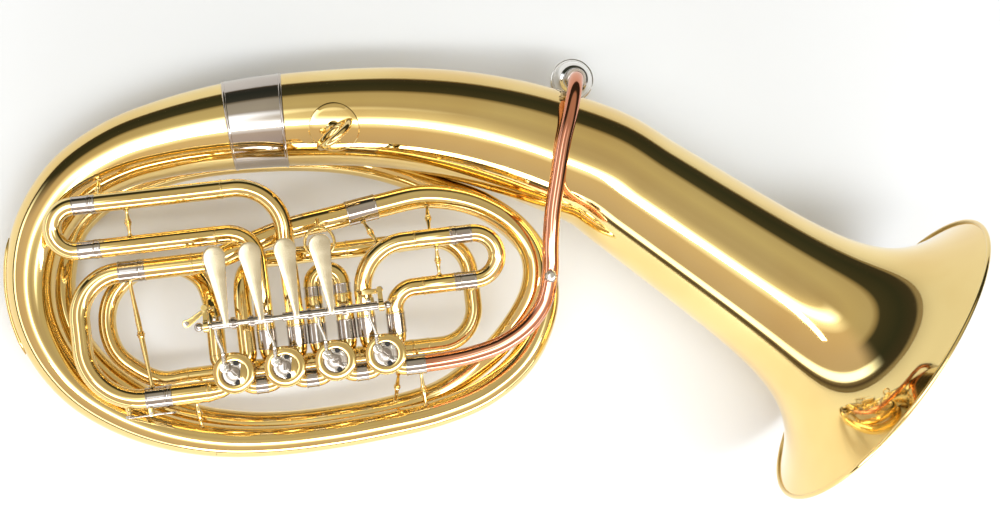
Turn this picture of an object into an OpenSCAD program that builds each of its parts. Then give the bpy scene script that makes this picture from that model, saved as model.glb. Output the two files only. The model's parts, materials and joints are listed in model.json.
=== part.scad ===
// Oval rotary-valve euphonium, lying valve side up.
// Body axes: X along the valve row, Z along the rotor axes, Z = 0 on the plane of the bell axis.
// The origin of the body axes is the first rotor's axis. The module resting() tips the
// instrument so that it lies on its bell rim and on the backs of its bows.

/* [Bell] */
// Radius of the bell at its rim
bell_r = 139; // [132:1:145]
// Length of the straight flare, rim to throat
flare_len = 250; // [240:2:256]
// Outer radius where the flare meets the throat
flare_throat_r = 53.4; // [52:0.2:55]
// Direction of the bell axis in the body plane
bell_turn = -40.5; // [-42:0.5:-39]
// Wall thickness of the bell and the conical branches
sheet = 1; // [0.8:0.1:1.4]

/* [Valves] */
// Distance between neighbouring rotor axes
valve_pitch = 39.5; // [39.5:0.1:41]
// Height of the port centres above the bell axis plane
port_z = 28; // [28:0.5:30]
// Radius of the bore through valves and slides
bore_r = 6.3; // [6:0.1:6.4]
// Radius of each rotor
rotor_r = 13.2; // [13.2:0.1:13.4]
// Length of each rotor
rotor_len = 24; // [23:0.5:24]
// Radius of the brass rings over the valves
cap_r = 16.4; // [15.8:0.2:17]

/* [Levers] */
// Height of the lever shaft above the bell axis plane
shaft_z = 78; // [77:0.5:80]
// Distance of the lever shaft from the valve row
shaft_y = 38; // [38:0.5:40]
// Length of each lever's lower arm
arm_len = 26; // [26:0.5:27]
// Distance from the shaft to the middle of the round finger plate
finger_reach = 51; // [48:1:53]
// Radius of the finger plate
finger_r = 8.6; // [7:0.2:9]

/* [Slides] */
// Outer radius of the valve slide sleeves
sleeve_r = 7.3; // [7.3:0.05:7.5]
// Outer radius of the sliding legs
leg_r = 6.8; // [6.7:0.05:6.85]
// Outer radius of the main tuning sleeves
tuning_r = 8.6; // [8.6:0.05:8.8]
// Radial clearance of every running fit
fit = 0.05; // [0.03:0.01:0.08]

/* [Mouthpiece] */
// Outer radius of the mouthpiece rim
rim_r = 19.2; // [18.5:0.1:19.5]
// Length of the mouthpiece
mouthpiece_len = 82; // [80:1:84]

/* [Resting pose] */
// Tip towards the outer bow when it lies on a table
rest_pitch = -8.48; // [-12:0.01:12]
// Roll about the valve row when it lies on a table
rest_roll = -0.27; // [-12:0.01:12]
// Position of the first rotor's axis in the resting frame
rest_shift = [-106.31, -37.37, 78.28];

/* [Hidden] */
$fn = 48;
BRASS = "gold";
NICKEL = "silver";
COPPER = "peru";

bell_dir = [cos(bell_turn), sin(bell_turn), 0];
bell_centre = [414, -56, 0];
throat_end = bell_centre - flare_len * bell_dir;

// Valve block. A port leaves the rotor on a diagonal and bends to lie along an axis.
knuckle_bend = 8;
port_start = rotor_r * cos(45);
knuckle_c = [port_start - knuckle_bend * cos(45), port_start + knuckle_bend * cos(45)];
port_x = knuckle_c.x + knuckle_bend;
port_y = knuckle_c.y;
port_wall = 0.8;
port_r = bore_r + port_wall;
casing_r = rotor_r + 1.8;
casing_low = port_z - 15;
casing_top = port_z + 15;
floor_t = 2.95;
spindle_r = 4;
stem_r = 2.5;
plate_low = port_z + rotor_len / 2 + 0.1;
cap_top = casing_top + 4;
recess_r = 10.7;
function valve_x(n) = -valve_pitch * (n - 1);

// The conical tube from the main tuning slide to the throat: x, y, z and outer radius.
// It runs round the body twice, the narrow turn behind and inside the wide one.
// The first and last rows only set the direction at the ends.
cone_path = [
  [-160, 89, port_z, 8.6], [-130, 89, port_z, 8.6], [-104, 97, 26.5, 8.8], [-67, 107.5, 24.5, 9.1],
  [-28, 113, 23, 9.4], [10, 118.5, 20.5, 9.6], [48, 122, 17.5, 9.7], [86, 112, 16, 9.7],
  [115, 91, 15, 9.8], [129, 64, 15, 9.8], [125, 35, 12, 9.8], [105, 6, 4, 9.9],
  [78, -18.5, -11, 10], [43, -38, -18, 10.1], [0, -46, -19, 10.2], [-40, -48, -19, 10.2],
  [-78, -48, -20, 10.3], [-116, -44, -20.5, 10.3], [-154, -34, -20.5, 10.4], [-190, -17, -20.5, 10.4],
  [-222, 9, -20.5, 10.5], [-243, 39, -21, 10.5], [-252, 72, -22, 10.6], [-249, 105, -25.5, 10.7],
  [-236, 135, -31.5, 10.7], [-208, 157, -36.5, 10.8], [-171, 169.5, -40.5, 10.9],
  [-130, 175, -43.5, 10.9], [-88, 175, -45, 11], [-46, 171.5, -46, 11], [-7, 164, -45, 11.1],
  [30, 150, -37.5, 11.2], [64, 130, -22, 11.3], [98, 110.5, -11, 11.3], [125, 84, -8, 11.4],
  [139, 51, -8, 11.4], [135, 17, -6, 11.5], [113.5, -18.5, -3.5, 11.4], [79, -42, -1, 11.2],
  [38, -53.5, 0, 11.2], [-6, -58, 0, 11.4], [-50, -60, 0, 11.6], [-96, -59, 0, 12],
  [-140, -53, 0, 13], [-181, -40, 0, 14], [-216, -21, 0, 14.8], [-243.5, 3, 0, 15.6],
  [-262.5, 34, 0, 16.8], [-271.5, 68, 0, 18.1], [-269.5, 103, 0, 20], [-256, 137, 0, 22.3],
  [-229, 167, 0, 25], [-192, 185.5, 0, 28.2], [-150, 194.5, 0, 31.5], [-103, 198.5, 0, 35.2],
  [-57, 198.8, 0, 37.5], [-10, 196, 0, 39.4], [35, 190.2, 0, 41.8], [80, 180, 0, 44.8],
  [123, 165.5, 0, 47.8], [161, 148.5, 0, 50],
  [throat_end.x - 35 * bell_dir.x, throat_end.y - 35 * bell_dir.y, 0, 51.6],
  [throat_end.x, throat_end.y, 0, flare_throat_r],
  [throat_end.x + 25 * bell_dir.x, throat_end.y + 25 * bell_dir.y, 0, flare_throat_r]
];
branch_joint = 4.62;
front_joint = 13;
inner_joint = 26;
back_joint = 33;
right_joint = 43;
bow_joint = 54.5;
garland_start = 54;
garland_end = 55;
throat_stop = len(cone_path) - 2;

// The leadpipe from the receiver to the first valve, in the same form.
mouth_dir = [0.1325, 0.1368, -0.9816];
mouth_rim = [193.5, 216, -62];
receiver_len = 34;
shank_in = 22;
receiver_mouth = mouth_rim - (mouthpiece_len - shank_in) * mouth_dir;
receiver_end = receiver_mouth - receiver_len * mouth_dir;
ferrule_end = 31;
leadpipe_r = 7;
lead_path = [
  concat(receiver_end + 20 * mouth_dir, 5.9), concat(receiver_end, 5.9),
  [177.8, 198.5, 42, 6], [173.5, 188, 52.5, 6], [166.5, 169, 57.6, 6.1], [159, 149, 58, 6.2],
  [151, 121.5, 56.6, 6.3], [144, 95, 54, 6.4], [139.8, 70, 50, 6.5], [137.2, 47, 45.5, 6.6],
  [130, 25, 40.5, 6.7], [115, 8, 37, 6.8], [93, -4, 33.5, 6.9], [68, -9.6, 30.6, 7],
  [48, -11.3, 28.8, 7], [ferrule_end, -port_x, port_z, 7], [10, -port_x, port_z, 7]
];

// Levers and links. Each rotor turns 90 degrees while its lever turns lever_travel.
pin_r = 7;
pin_reach = pin_r * cos(45);
lever_half = asin(pin_reach / arm_len);
lever_travel = 2 * lever_half;
link_z = shaft_z - arm_len * cos(lever_half);
link_y = shaft_y + pin_reach;
link_len = shaft_y;
link_x_off = -6;
shaft_r = 2;
hub_r = 3.4;
lever_x = [-38, -64.5, -91, -117.5];
hub_from = [-42, -75, -101, -128];
hub_to = [-3, -42.4, -82.4, -108.5];

// Slides. Each loop lies in a plane through its ports, tipped by its own angle.
inner_bore = bore_r;
sleeve_bore = leg_r + fit;
bow_r = leg_r + 0.2;
tip_1 = 9;
tip_3 = 9.8;
low_z = -4;
loop4_top = 88;
loop4_low = 1;
tuning_leg_r = 7.9;
tuning_bore = 7.3;
tuning_top = 89;
tuning_low = -port_x;
tuning_end = [-173, -183];
tuning_bow_x = [-189, -199];
tuning_corner = [44, 34];
tuning_taper = 7;

// ---------------------------------------------------------------- helpers

module resting() {
  translate(rest_shift) rotate([rest_roll, rest_pitch, 0]) children();
}

function unit(v) = v / norm(v);
function row(path, i) = path[max(0, min(len(path) - 1, i))];
function blend(a, b, c, d, f) =
  0.5 * (2 * b + (c - a) * f + (2 * a - 5 * b + 4 * c - d) * f * f
         + (3 * b - a - 3 * c + d) * f * f * f);
function along(path, u) =
  let (i = floor(u)) blend(row(path, i - 1), row(path, i), row(path, i + 1), row(path, i + 2), u - i);
function place(path, u) = let (p = along(path, u)) [p[0], p[1], p[2]];
function heading(path, u) = unit(place(path, u + 0.01) - place(path, u - 0.01));
function side(path, u) = unit(cross(heading(path, u), [0, 0, 1]));
function upward(path, u) = cross(side(path, u), heading(path, u));
function on_ring(path, u, angle, grow) =
  place(path, u) + (along(path, u)[3] + grow) * (cos(angle) * side(path, u) + sin(angle) * upward(path, u));

// Hollow tube along a path between two positions on it.
module tube_along(path, from, to, rings, sides, wall, grow = 0) {
  outer = [for (i = [0:rings], k = [0:sides - 1])
    on_ring(path, from + (to - from) * i / rings, 360 * k / sides, grow)];
  inner = [for (i = [0:rings], k = [0:sides - 1])
    on_ring(path, from + (to - from) * i / rings, 360 * k / sides, grow - wall)];
  m = (rings + 1) * sides;
  last = rings * sides;
  skin = [for (i = [0:rings - 1], k = [0:sides - 1])
    let (j = (k + 1) % sides, a = i * sides, b = a + sides) [a + k, a + j, b + j, b + k]];
  lining = [for (q = skin) [m + q[0], m + q[3], m + q[2], m + q[1]]];
  first_end = [for (k = [0:sides - 1]) let (j = (k + 1) % sides) [j, k, m + k, m + j]];
  last_end = [for (k = [0:sides - 1])
    let (j = (k + 1) % sides) [last + k, last + j, m + last + j, m + last + k]];
  polyhedron(concat(outer, inner), concat(skin, lining, first_end, last_end), convexity = 8);
}

// Strip that follows the outside of a path between two angles round it.
module strip_along(path, from, to, rings, low, high, steps, gap, thick) {
  n = 2 * (steps + 1);
  pts = [for (i = [0:rings], k = [0:n - 1])
    let (u = from + (to - from) * i / rings,
         outside = k <= steps,
         a = outside ? low + (high - low) * k / steps : high - (high - low) * (k - steps - 1) / steps)
    on_ring(path, u, a, outside ? gap + thick : gap)];
  skin = [for (i = [0:rings - 1], k = [0:n - 1])
    let (j = (k + 1) % n, a = i * n, b = a + n) [a + k, a + j, b + j, b + k]];
  caps = [[for (k = [n - 1:-1:0]) k], [for (k = [0:n - 1]) rings * n + k]];
  polyhedron(pts, concat(skin, caps), convexity = 6);
}

// Straight pipe along X, along Y, or between two points.
module pipe(length, outer, inner) {
  difference() {
    cylinder(h = length, r = outer);
    translate([0, 0, -1]) cylinder(h = length + 2, r = inner);
  }
}
module pipe_x(from, to, y, z, outer, inner) {
  translate([min(from, to), y, z]) rotate([0, 90, 0]) pipe(abs(to - from), outer, inner);
}
module pipe_y(from, to, x, z, outer, inner) {
  translate([x, from, z]) rotate([-90, 0, 0]) pipe(to - from, outer, inner);
}
module bend(centre, radius, start, sweep, outer, inner) {
  translate(centre) rotate([0, 0, start]) rotate_extrude(angle = sweep)
    translate([radius, 0]) difference() {
      circle(r = outer);
      circle(r = inner);
    }
}
module aim(from, towards) {
  d = towards - from;
  translate(from) rotate([0, acos(d.z / norm(d)), atan2(d.y, d.x)]) children();
}
module rod(a, b, r) {
  aim(a, b) cylinder(h = norm(b - a), r = r);
}
// Turned stay: a rod with a bead in the middle that thins towards both ends.
module stay(a, b, r = 2.2) {
  l = norm(b - a);
  aim(a, b) union() {
    cylinder(h = l / 2, r1 = r * 0.7, r2 = r);
    translate([0, 0, l / 2]) cylinder(h = l / 2, r1 = r, r2 = r * 0.7);
    translate([0, 0, l / 2 - 1]) cylinder(h = 2, r = r * 1.25);
  }
}

// ---------------------------------------------------------------- bell and conical tube

function flare_r(t) =
  flare_throat_r + 0.06 * (flare_len - t) + (bell_r - flare_throat_r - 0.06 * flare_len) * exp(-t / 31);
flare_steps = 22;
function flare_t(i) = flare_len * pow(i / flare_steps, 1.9);

module bell_flare() color(BRASS) resting()
  translate(bell_centre) rotate([0, 0, bell_turn]) rotate([0, -90, 0]) union() {
    rotate_extrude($fn = 96) polygon(concat(
      [for (i = [0:flare_steps]) [flare_r(flare_t(i)), flare_t(i)]],
      [for (i = [flare_steps:-1:0]) [flare_r(flare_t(i)) - (i < 4 ? 1.4 : sheet), flare_t(i)]]));
    translate([0, 0, 0.6]) rotate_extrude($fn = 96) translate([bell_r - 0.4, 0]) circle(r = 1.9);
  }

module bell_throat() color(BRASS) resting()
  tube_along(cone_path, bow_joint, throat_stop, 16, 28, sheet);
module outer_bow() color(BRASS) resting()
  tube_along(cone_path, right_joint, bow_joint, 30, 24, sheet);
module right_bow() color(BRASS) resting()
  tube_along(cone_path, back_joint, right_joint, 26, 20, sheet);
module back_branch() color(BRASS) resting()
  tube_along(cone_path, inner_joint, back_joint, 16, 20, sheet);
module inner_bow() color(BRASS) resting()
  tube_along(cone_path, front_joint, inner_joint, 30, 20, sheet);
module front_bow() color(BRASS) resting()
  tube_along(cone_path, branch_joint, front_joint, 20, 20, sheet);
module front_branch() color(BRASS) resting()
  tube_along(cone_path, 1, branch_joint, 10, 20, sheet);
module garland() color(NICKEL) resting()
  tube_along(cone_path, garland_start, garland_end, 3, 28, 0.9, 1.35);
module guard_strip() color(BRASS) resting()
  strip_along(cone_path, 47.2, 49.5, 8, 160, 200, 4, 0.3, 1.6);

// Round plate and ring for the carrying strap, on the flank of the throat.
strap_u = 55.83;
strap_lean = 21;
strap_plate_r = 20;
strap_ring_r = 14.5;
strap_wire = 2.8;
module on_throat(lean) {
  p = place(cone_path, strap_u);
  h = heading(cone_path, strap_u);
  translate(p) rotate([0, 0, atan2(h.y, h.x)]) rotate([lean, 0, 0]) children();
}
module strap_plate() color(BRASS) resting() on_throat(strap_lean) union() {
  intersection() {
    difference() {
      translate([-22, 0, 0]) rotate([0, 90, 0]) cylinder(h = 44, r1 = 39.6, r2 = 42, $fn = 96);
      translate([-22, 0, 0]) rotate([0, 90, 0]) cylinder(h = 44, r1 = 38.3, r2 = 40.7, $fn = 96);
    }
    cylinder(h = 60, r = strap_plate_r);
  }
  translate([0, 0, 40.2]) cylinder(h = 3.6, r1 = 5, r2 = 3.4);
}
module strap_ring() color(BRASS) resting() on_throat(strap_lean)
  translate([0, 0, 43.9 + strap_ring_r + strap_wire]) rotate([0, 0, 38]) rotate([90, 0, 0])
    rotate_extrude() translate([strap_ring_r, 0]) circle(r = strap_wire);

// ---------------------------------------------------------------- valves

module knuckle(outer) {
  translate([knuckle_c.x, knuckle_c.y, port_z]) rotate([0, 0, -45]) rotate_extrude(angle = 45)
    translate([knuckle_bend, 0]) circle(r = outer);
}
module four_ports(outer) {
  for (flip = [0, 1]) mirror([flip, 0, 0]) {
    knuckle(outer);
    rotate([0, 0, -90]) knuckle(outer);
  }
}
module casing(n) color(BRASS) resting() translate([valve_x(n), 0, 0]) difference() {
  union() {
    translate([0, 0, casing_low]) cylinder(h = casing_top - casing_low, r = casing_r);
    four_ports(port_r);
  }
  translate([0, 0, casing_low + floor_t]) cylinder(h = 40, r = rotor_r + fit);
  translate([0, 0, casing_low - 1]) cylinder(h = 10, r = spindle_r + fit);
  four_ports(bore_r);
  for (a = [45:90:315]) translate([0, 0, port_z]) rotate([0, 90, a]) cylinder(h = rotor_r, r = bore_r);
}

passage_w = 4.9;
passage_rise = 2.4;
module passage() {
  translate([0, -2 * port_start, port_z]) rotate([0, 0, 38]) {
    for (dz = [-passage_rise, passage_rise]) translate([0, 0, dz])
      rotate_extrude(angle = 104) translate([rotor_r, 0]) circle(r = passage_w);
    rotate_extrude(angle = 104) translate([rotor_r - passage_w, -passage_rise])
      square([2 * passage_w, 2 * passage_rise]);
  }
}
module rotor(n) color(NICKEL) resting() translate([valve_x(n), 0, 0]) difference() {
  union() {
    translate([0, 0, port_z - rotor_len / 2]) cylinder(h = rotor_len, r = rotor_r);
    translate([0, 0, casing_low - 0.1]) cylinder(h = 4, r = spindle_r);
    translate([0, 0, port_z]) cylinder(h = casing_top - port_z + 0.2, r = spindle_r);
    translate([0, 0, port_z]) cylinder(h = casing_top - port_z + 3, r = stem_r);
  }
  passage();
  rotate([0, 0, 180]) passage();
}

bumper_ring = 8;
bumper_r = 2;
bumper_turn = 73;
module bearing_plates() color(NICKEL) resting() for (n = [1:4]) translate([valve_x(n), 0, 0]) {
  difference() {
    translate([0, 0, plate_low]) cylinder(h = casing_top - plate_low, r = rotor_r);
    translate([0, 0, plate_low - 1]) cylinder(h = 10, r = spindle_r + fit);
  }
  for (a = [98, 262]) rotate([0, 0, a]) translate([bumper_ring, 0, casing_top + 0.02])
    cylinder(h = 1.4, r = 1.4);
}
module valve_caps() color(BRASS) resting() for (n = [1:4]) translate([valve_x(n), 0, 0]) {
  translate([0, 0, casing_top + 0.02]) pipe(cap_top - casing_top - 0.02, cap_r, recess_r);
  translate([0, 0, casing_top - 3]) pipe(3.02, cap_r, casing_r + fit);
}
module rear_caps() color(NICKEL) resting() for (n = [1:4]) translate([valve_x(n), 0, casing_low - 4.2]) {
  difference() {
    cylinder(h = 4.15, r = casing_r + 0.4);
    translate([0, 0, 3]) cylinder(h = 3, r = spindle_r + 0.6);
  }
  translate([0, 0, -1.4]) cylinder(h = 1.4, r = 5.5);
}
module rubber_stops() color("dimgray") resting() for (n = [1:4], a = [-bumper_turn, bumper_turn])
  translate([valve_x(n), 0, casing_top + 0.02]) rotate([0, 0, a]) translate([bumper_ring, 0, 0])
    cylinder(h = 3, r = bumper_r);

// The stop arm turns with the rotor: a pin on one side, a stop finger on the other.
module stop_arm(n) color(NICKEL) resting()
  translate([valve_x(n), 0, casing_top + 0.4]) rotate([0, 0, 135]) {
  difference() {
    union() {
      cylinder(h = 3, r = 4.6);
      translate([0, -1.6, 0]) cube([pin_r, 3.2, 3]);
      translate([pin_r, 0, 0]) cylinder(h = 3, r = 2.4);
      translate([-bumper_ring - 0.2, -1.5, 0]) cube([bumper_ring, 3, 3]);
    }
    translate([0, 0, -1]) cylinder(h = 10, r = stem_r + fit);
  }
  translate([pin_r, 0, 3]) cylinder(h = 3.4, r = 1.3);
  translate([0, 0, 3.02]) cylinder(h = 1.2, r = 3.2);
}

module connectors() color(NICKEL) resting() for (n = [1:3])
  pipe_x(valve_x(n) - port_y, valve_x(n + 1) + port_y, -port_x, port_z, port_r + 0.4, bore_r);

// Loops 1 and 3 are tipped about the line of their ports; the cut keeps the joint square.
function tip(n) = n == 1 ? tip_1 : n == 3 ? tip_3 : 0;
module loop_plane(n) {
  translate([0, port_y, port_z]) rotate([tip(n), 0, 0]) translate([0, -port_y, -port_z]) children();
}
module above_ports() {
  intersection() {
    children();
    translate([-400, port_y + 0.03, -100]) cube([800, 400, 300]);
  }
}
// Nickel sleeves: on the risers, on the leadpipe's end and on the front branch.
module ferrules() color(NICKEL) resting() {
  for (n = [1:3], s = [-1, 1]) above_ports() loop_plane(n)
    pipe_y(port_y - 2, port_y + 17, valve_x(n) + s * port_x, port_z, sleeve_r + 0.5, sleeve_r + 0.04);
  pipe_x(port_y, ferrule_end - 0.05, -port_x, port_z, 7.9, bore_r);
  tube_along(cone_path, branch_joint - 0.34, branch_joint + 0.3, 3, 20, 0.9, 0.93);
}

// ---------------------------------------------------------------- levers

shaft_from = -138;
shaft_to = 5;
module lever_shaft() color(NICKEL) resting() {
  translate([shaft_from, shaft_y, shaft_z]) rotate([0, 90, 0])
    cylinder(h = shaft_to - shaft_from, r = shaft_r);
  translate([shaft_from, shaft_y, shaft_z]) sphere(r = 3.4);
  translate([shaft_to, shaft_y, shaft_z]) sphere(r = 3);
}

// Brackets: a post on a riser, and an arm that carries one end of the shaft.
module bracket(x, post_x, post_y, foot_z) {
  difference() {
    union() {
      translate([x, shaft_y, shaft_z]) rotate([0, 90, 0]) cylinder(h = 4, r = 4.6, center = true);
      translate([x - 2, shaft_y, shaft_z - 4]) cube([4, post_y - shaft_y, 4]);
      translate([x, post_y, foot_z]) cylinder(h = shaft_z - foot_z, r = 2.6);
    }
    translate([x - 5, shaft_y, shaft_z]) rotate([0, 90, 0]) cylinder(h = 10, r = shaft_r + fit);
  }
  translate([min(x, post_x), post_y - 2, foot_z]) cube([max(abs(x - post_x), 1), 4, 3]);
}
// The low bracket also reaches out past the shaft's end to a lug with a screw.
lug = [-147.2, 41.8];
module shaft_brackets() color(BRASS) resting() {
  translate([0, 0, shaft_z - 7.5]) linear_extrude(height = 3.5) {
    polygon([[-131, 53], [-131, 50], [lug.x + 1.8, lug.y - 2.6], [lug.x - 1.8, lug.y + 2.6]]);
    translate(lug) circle(r = 3.2);
  }
  translate([lug.x, lug.y, shaft_z - 5]) cylinder(h = 3, r = 2);
  bracket(-132.5, x4 - port_x, 52, 29.5);
  bracket(0, -port_x, 50, 41.5);
}

// Each lever has a coil spring wound round its hub.
spring_x = [-30, -56, -99.5, -113.4];
spring_turns = 4;
module return_springs() color(NICKEL) resting() for (x = spring_x, k = [0:spring_turns - 1])
  translate([x + k, shaft_y, shaft_z]) rotate([0, 90, 0])
    rotate_extrude() translate([hub_r + 0.8, 0]) circle(r = 0.45);

// Paddle, hub and lower arm of one key, drawn released.
module lever(n) color(NICKEL) resting() {
  x = lever_x[n - 1];
  link_x = valve_x(n) + link_x_off;
  from = hub_from[n - 1];
  reach = finger_reach;
  pipe_x(from, hub_to[n - 1], shaft_y, shaft_z, hub_r, shaft_r + fit);
  translate([x, shaft_y, shaft_z + 2.4]) linear_extrude(height = 1.8) union() {
    translate([-3, reach]) circle(r = finger_r);
    polygon([[-2.4, -1.5], [2.4, -1.5], [finger_r - 3.2, reach - 2], [-finger_r - 2.8, reach - 2]]);
  }
  translate([link_x - 1.6, 0, 0]) {
    rotate_about_shaft(lever_half) translate([0, shaft_y - 1.8, shaft_z - arm_len])
      cube([3.2, 3.6, arm_len - hub_r + 0.3]);
    translate([0, link_y, link_z]) rotate([0, 90, 0]) cylinder(h = 3.2, r = 2.6);
  }
  translate([link_x - 1.6, link_y, link_z]) rotate([0, -90, 0]) cylinder(h = 3, r = 1.2);
}
module rotate_about_shaft(a) {
  translate([0, shaft_y, shaft_z]) rotate([a, 0, 0]) translate([0, -shaft_y, -shaft_z]) children();
}

// Link from the lever's arm to the stop arm's pin.
eye_r = 2.7;
module link(n) color(NICKEL) resting() translate([valve_x(n) + link_x_off, 0, link_z]) {
  eye_x = -3.3;
  translate([eye_x - 1, link_y, 0]) rotate([0, 90, 0]) pipe(2, 2.8, 1.2 + fit);
  translate([eye_x, link_y - 2.4, 0]) rotate([90, 0, 0]) cylinder(h = 12, r = 0.95);
  rod([eye_x, link_y - 14, 0], [0, link_y - link_len + eye_r + 8, 0], 1.05);
  translate([0, pin_reach + eye_r + 8.4, 0]) rotate([90, 0, 0]) cylinder(h = 8, r = 1.2);
  translate([0, pin_reach, -1]) pipe(2, eye_r + 1.2, eye_r);
}

module finger_ring() color(BRASS) resting() {
  translate([-41, 93, 52]) rotate_extrude() translate([11.4, 0]) circle(r = 1.2);
  rod([-41, 104.6, 52], [-41, 111.5, 36.5], 1.5);
}

// ---------------------------------------------------------------- leadpipe and mouthpiece

module leadpipe() color(COPPER) resting()
  tube_along(lead_path, 1, len(lead_path) - 2, 40, 16, 0.8);

function shank_r(s) = 6 + (mouthpiece_len - s) * 0.025;
module along_mouth(s) {
  aim(mouth_rim - s * mouth_dir, mouth_rim - (s + 1) * mouth_dir) children();
}
module receiver() color(NICKEL) resting() along_mouth(mouthpiece_len - shank_in) difference() {
  union() {
    cylinder(h = receiver_len - 0.5, r = 8);
    cylinder(h = 3, r = 9.2);
    translate([0, 0, 24]) cylinder(h = 2, r = 8.6);
  }
  translate([0, 0, -0.01]) cylinder(h = shank_in + 0.6,
    r1 = shank_r(mouthpiece_len - shank_in) + 0.04, r2 = shank_r(mouthpiece_len + 0.6) + 0.04);
  translate([0, 0, -1]) cylinder(h = 60, r = 5.1);
}
cup_r = 12.8;
throat_r = 3.3;
module mouthpiece() color(NICKEL) resting() along_mouth(0) difference() {
  rotate_extrude() polygon(concat(
    [[0, 0], [cup_r + 1, 0]],
    [for (a = [-80:20:80]) [rim_r - 2.6 + 2.6 * cos(a), 2.6 + 2.6 * sin(a)]],
    [[17.6, 5.6], [16.8, 8]],
    [for (k = [0:6]) [9 + 7.4 * pow(cos(15 * k), 0.7), 10 + 30 * sin(15 * k)]],
    [[8.2, 44], [shank_r(mouthpiece_len - shank_in) + 0.6, 57],
     [shank_r(mouthpiece_len - shank_in), mouthpiece_len - shank_in],
     [shank_r(mouthpiece_len), mouthpiece_len], [0, mouthpiece_len]]));
  rotate_extrude() polygon(concat(
    [[0, -1], [cup_r, -1]],
    [for (k = [0:6]) [throat_r + (cup_r - throat_r) * cos(14 * k), 32 * sin(14 * k)]],
    [[throat_r, 34], [throat_r, 40], [4.9, mouthpiece_len + 1], [0, mouthpiece_len + 1]]));
}

drain_u = 9.1;
drain_top = 12;
module at_drain() {
  translate(place(lead_path, drain_u)) rotate([0, -4, 0]) children();
}
module drain_barrel() color(NICKEL) resting() difference() {
  at_drain() cylinder(h = drain_top, r = 4.8);
  at_drain() translate([0, 0, drain_top - 3.4]) cylinder(h = 8, r = 3.7 + fit);
  aim(place(lead_path, drain_u - 0.6), place(lead_path, drain_u + 0.6)) translate([0, 0, -10])
    cylinder(h = 60, r = leadpipe_r + 0.2);
}
module drain_button() color(NICKEL) resting() at_drain()
  translate([0, 0, drain_top - 0.3]) union() {
    cylinder(h = 3.2, r = 3.7);
    translate([0, 0, 3.2]) cylinder(h = 0.8, r1 = 3.7, r2 = 2.9);
  }

// ---------------------------------------------------------------- valve loops and slides

// Fixed half of a sideways loop: two risers, two elbows and two sleeves.
// near = [port x, elbow radius, leg y] of the leg next to the row, far = the same of the other leg.
module side_loop(n, near, far, dir, end) {
  start = port_y - 2;
  for (leg = [near, far]) {
    px = leg[0];
    er = leg[1];
    ly = leg[2];
    pipe_y(start, ly - er, px, port_z, sleeve_r, bore_r);
    bend([px + dir * er, ly - er, port_z], er, dir > 0 ? 90 : 0, 90, sleeve_r, bore_r);
    pipe_x(px + dir * er, px + dir * (er + 8), ly, port_z, sleeve_r, bore_r);
    pipe_x(px + dir * (er + 8), end, ly, port_z, sleeve_r, sleeve_bore);
    pipe_x(px + dir * (er + 7), px + dir * (er + 9), ly, port_z, sleeve_r + 0.35, sleeve_r);
    pipe_x(end - dir * 2, end, ly, port_z, sleeve_r + 0.35, sleeve_r);
  }
}
// Moving half: inner legs, nickel ferrules and a round bow.
module side_slide(low, high, dir, end, reach) {
  mid = (low + high) / 2;
  gap = dir * 0.1;
  for (y = [low, high]) {
    pipe_x(end + gap, end + dir * 13, y, port_z, sleeve_r, inner_bore - 0.2);
    pipe_x(end - dir * reach, end + gap, y, port_z, leg_r, inner_bore);
  }
  bend([end + dir * 13, mid, port_z], (high - low) / 2, dir > 0 ? -90 : 90, 180, bow_r, inner_bore - 0.2);
}
near_1 = [port_x, 17, 50.4];
far_1 = [-port_x, 37, 87.9];
end_1 = 66;
near_3 = [valve_x(3) - port_x, 22, 109.5];
far_3 = [valve_x(3) + port_x, 36, 144.5];
end_3 = -212;
module loop_1() color(BRASS) resting() above_ports() loop_plane(1) side_loop(1, near_1, far_1, 1, end_1);
module slide_1() color(BRASS) resting() loop_plane(1) side_slide(near_1[2], far_1[2], 1, end_1, 26);
module loop_3() color(BRASS) resting() above_ports() loop_plane(3) side_loop(3, near_3, far_3, -1, end_3);
module slide_3() color(BRASS) resting() loop_plane(3) side_slide(near_3[2], far_3[2], -1, end_3, 60);

end_2 = 52;
module loop_2() color(BRASS) resting() for (s = [-1, 1]) {
  pipe_y(port_y, port_y + 15, valve_x(2) + s * port_x, port_z, sleeve_r, bore_r);
  pipe_y(port_y + 15, end_2, valve_x(2) + s * port_x, port_z, sleeve_r, sleeve_bore);
  pipe_y(end_2 - 2, end_2, valve_x(2) + s * port_x, port_z, sleeve_r + 0.35, sleeve_r);
}
module slide_2() color(BRASS) resting() {
  for (s = [-1, 1]) {
    pipe_y(end_2 + 0.1, end_2 + 8, valve_x(2) + s * port_x, port_z, sleeve_r, inner_bore - 0.2);
    pipe_y(end_2 - 20, end_2 + 0.1, valve_x(2) + s * port_x, port_z, leg_r, inner_bore);
  }
  bend([valve_x(2), end_2 + 8, port_z], port_x, 0, 180, bow_r, inner_bore - 0.2);
}

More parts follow.
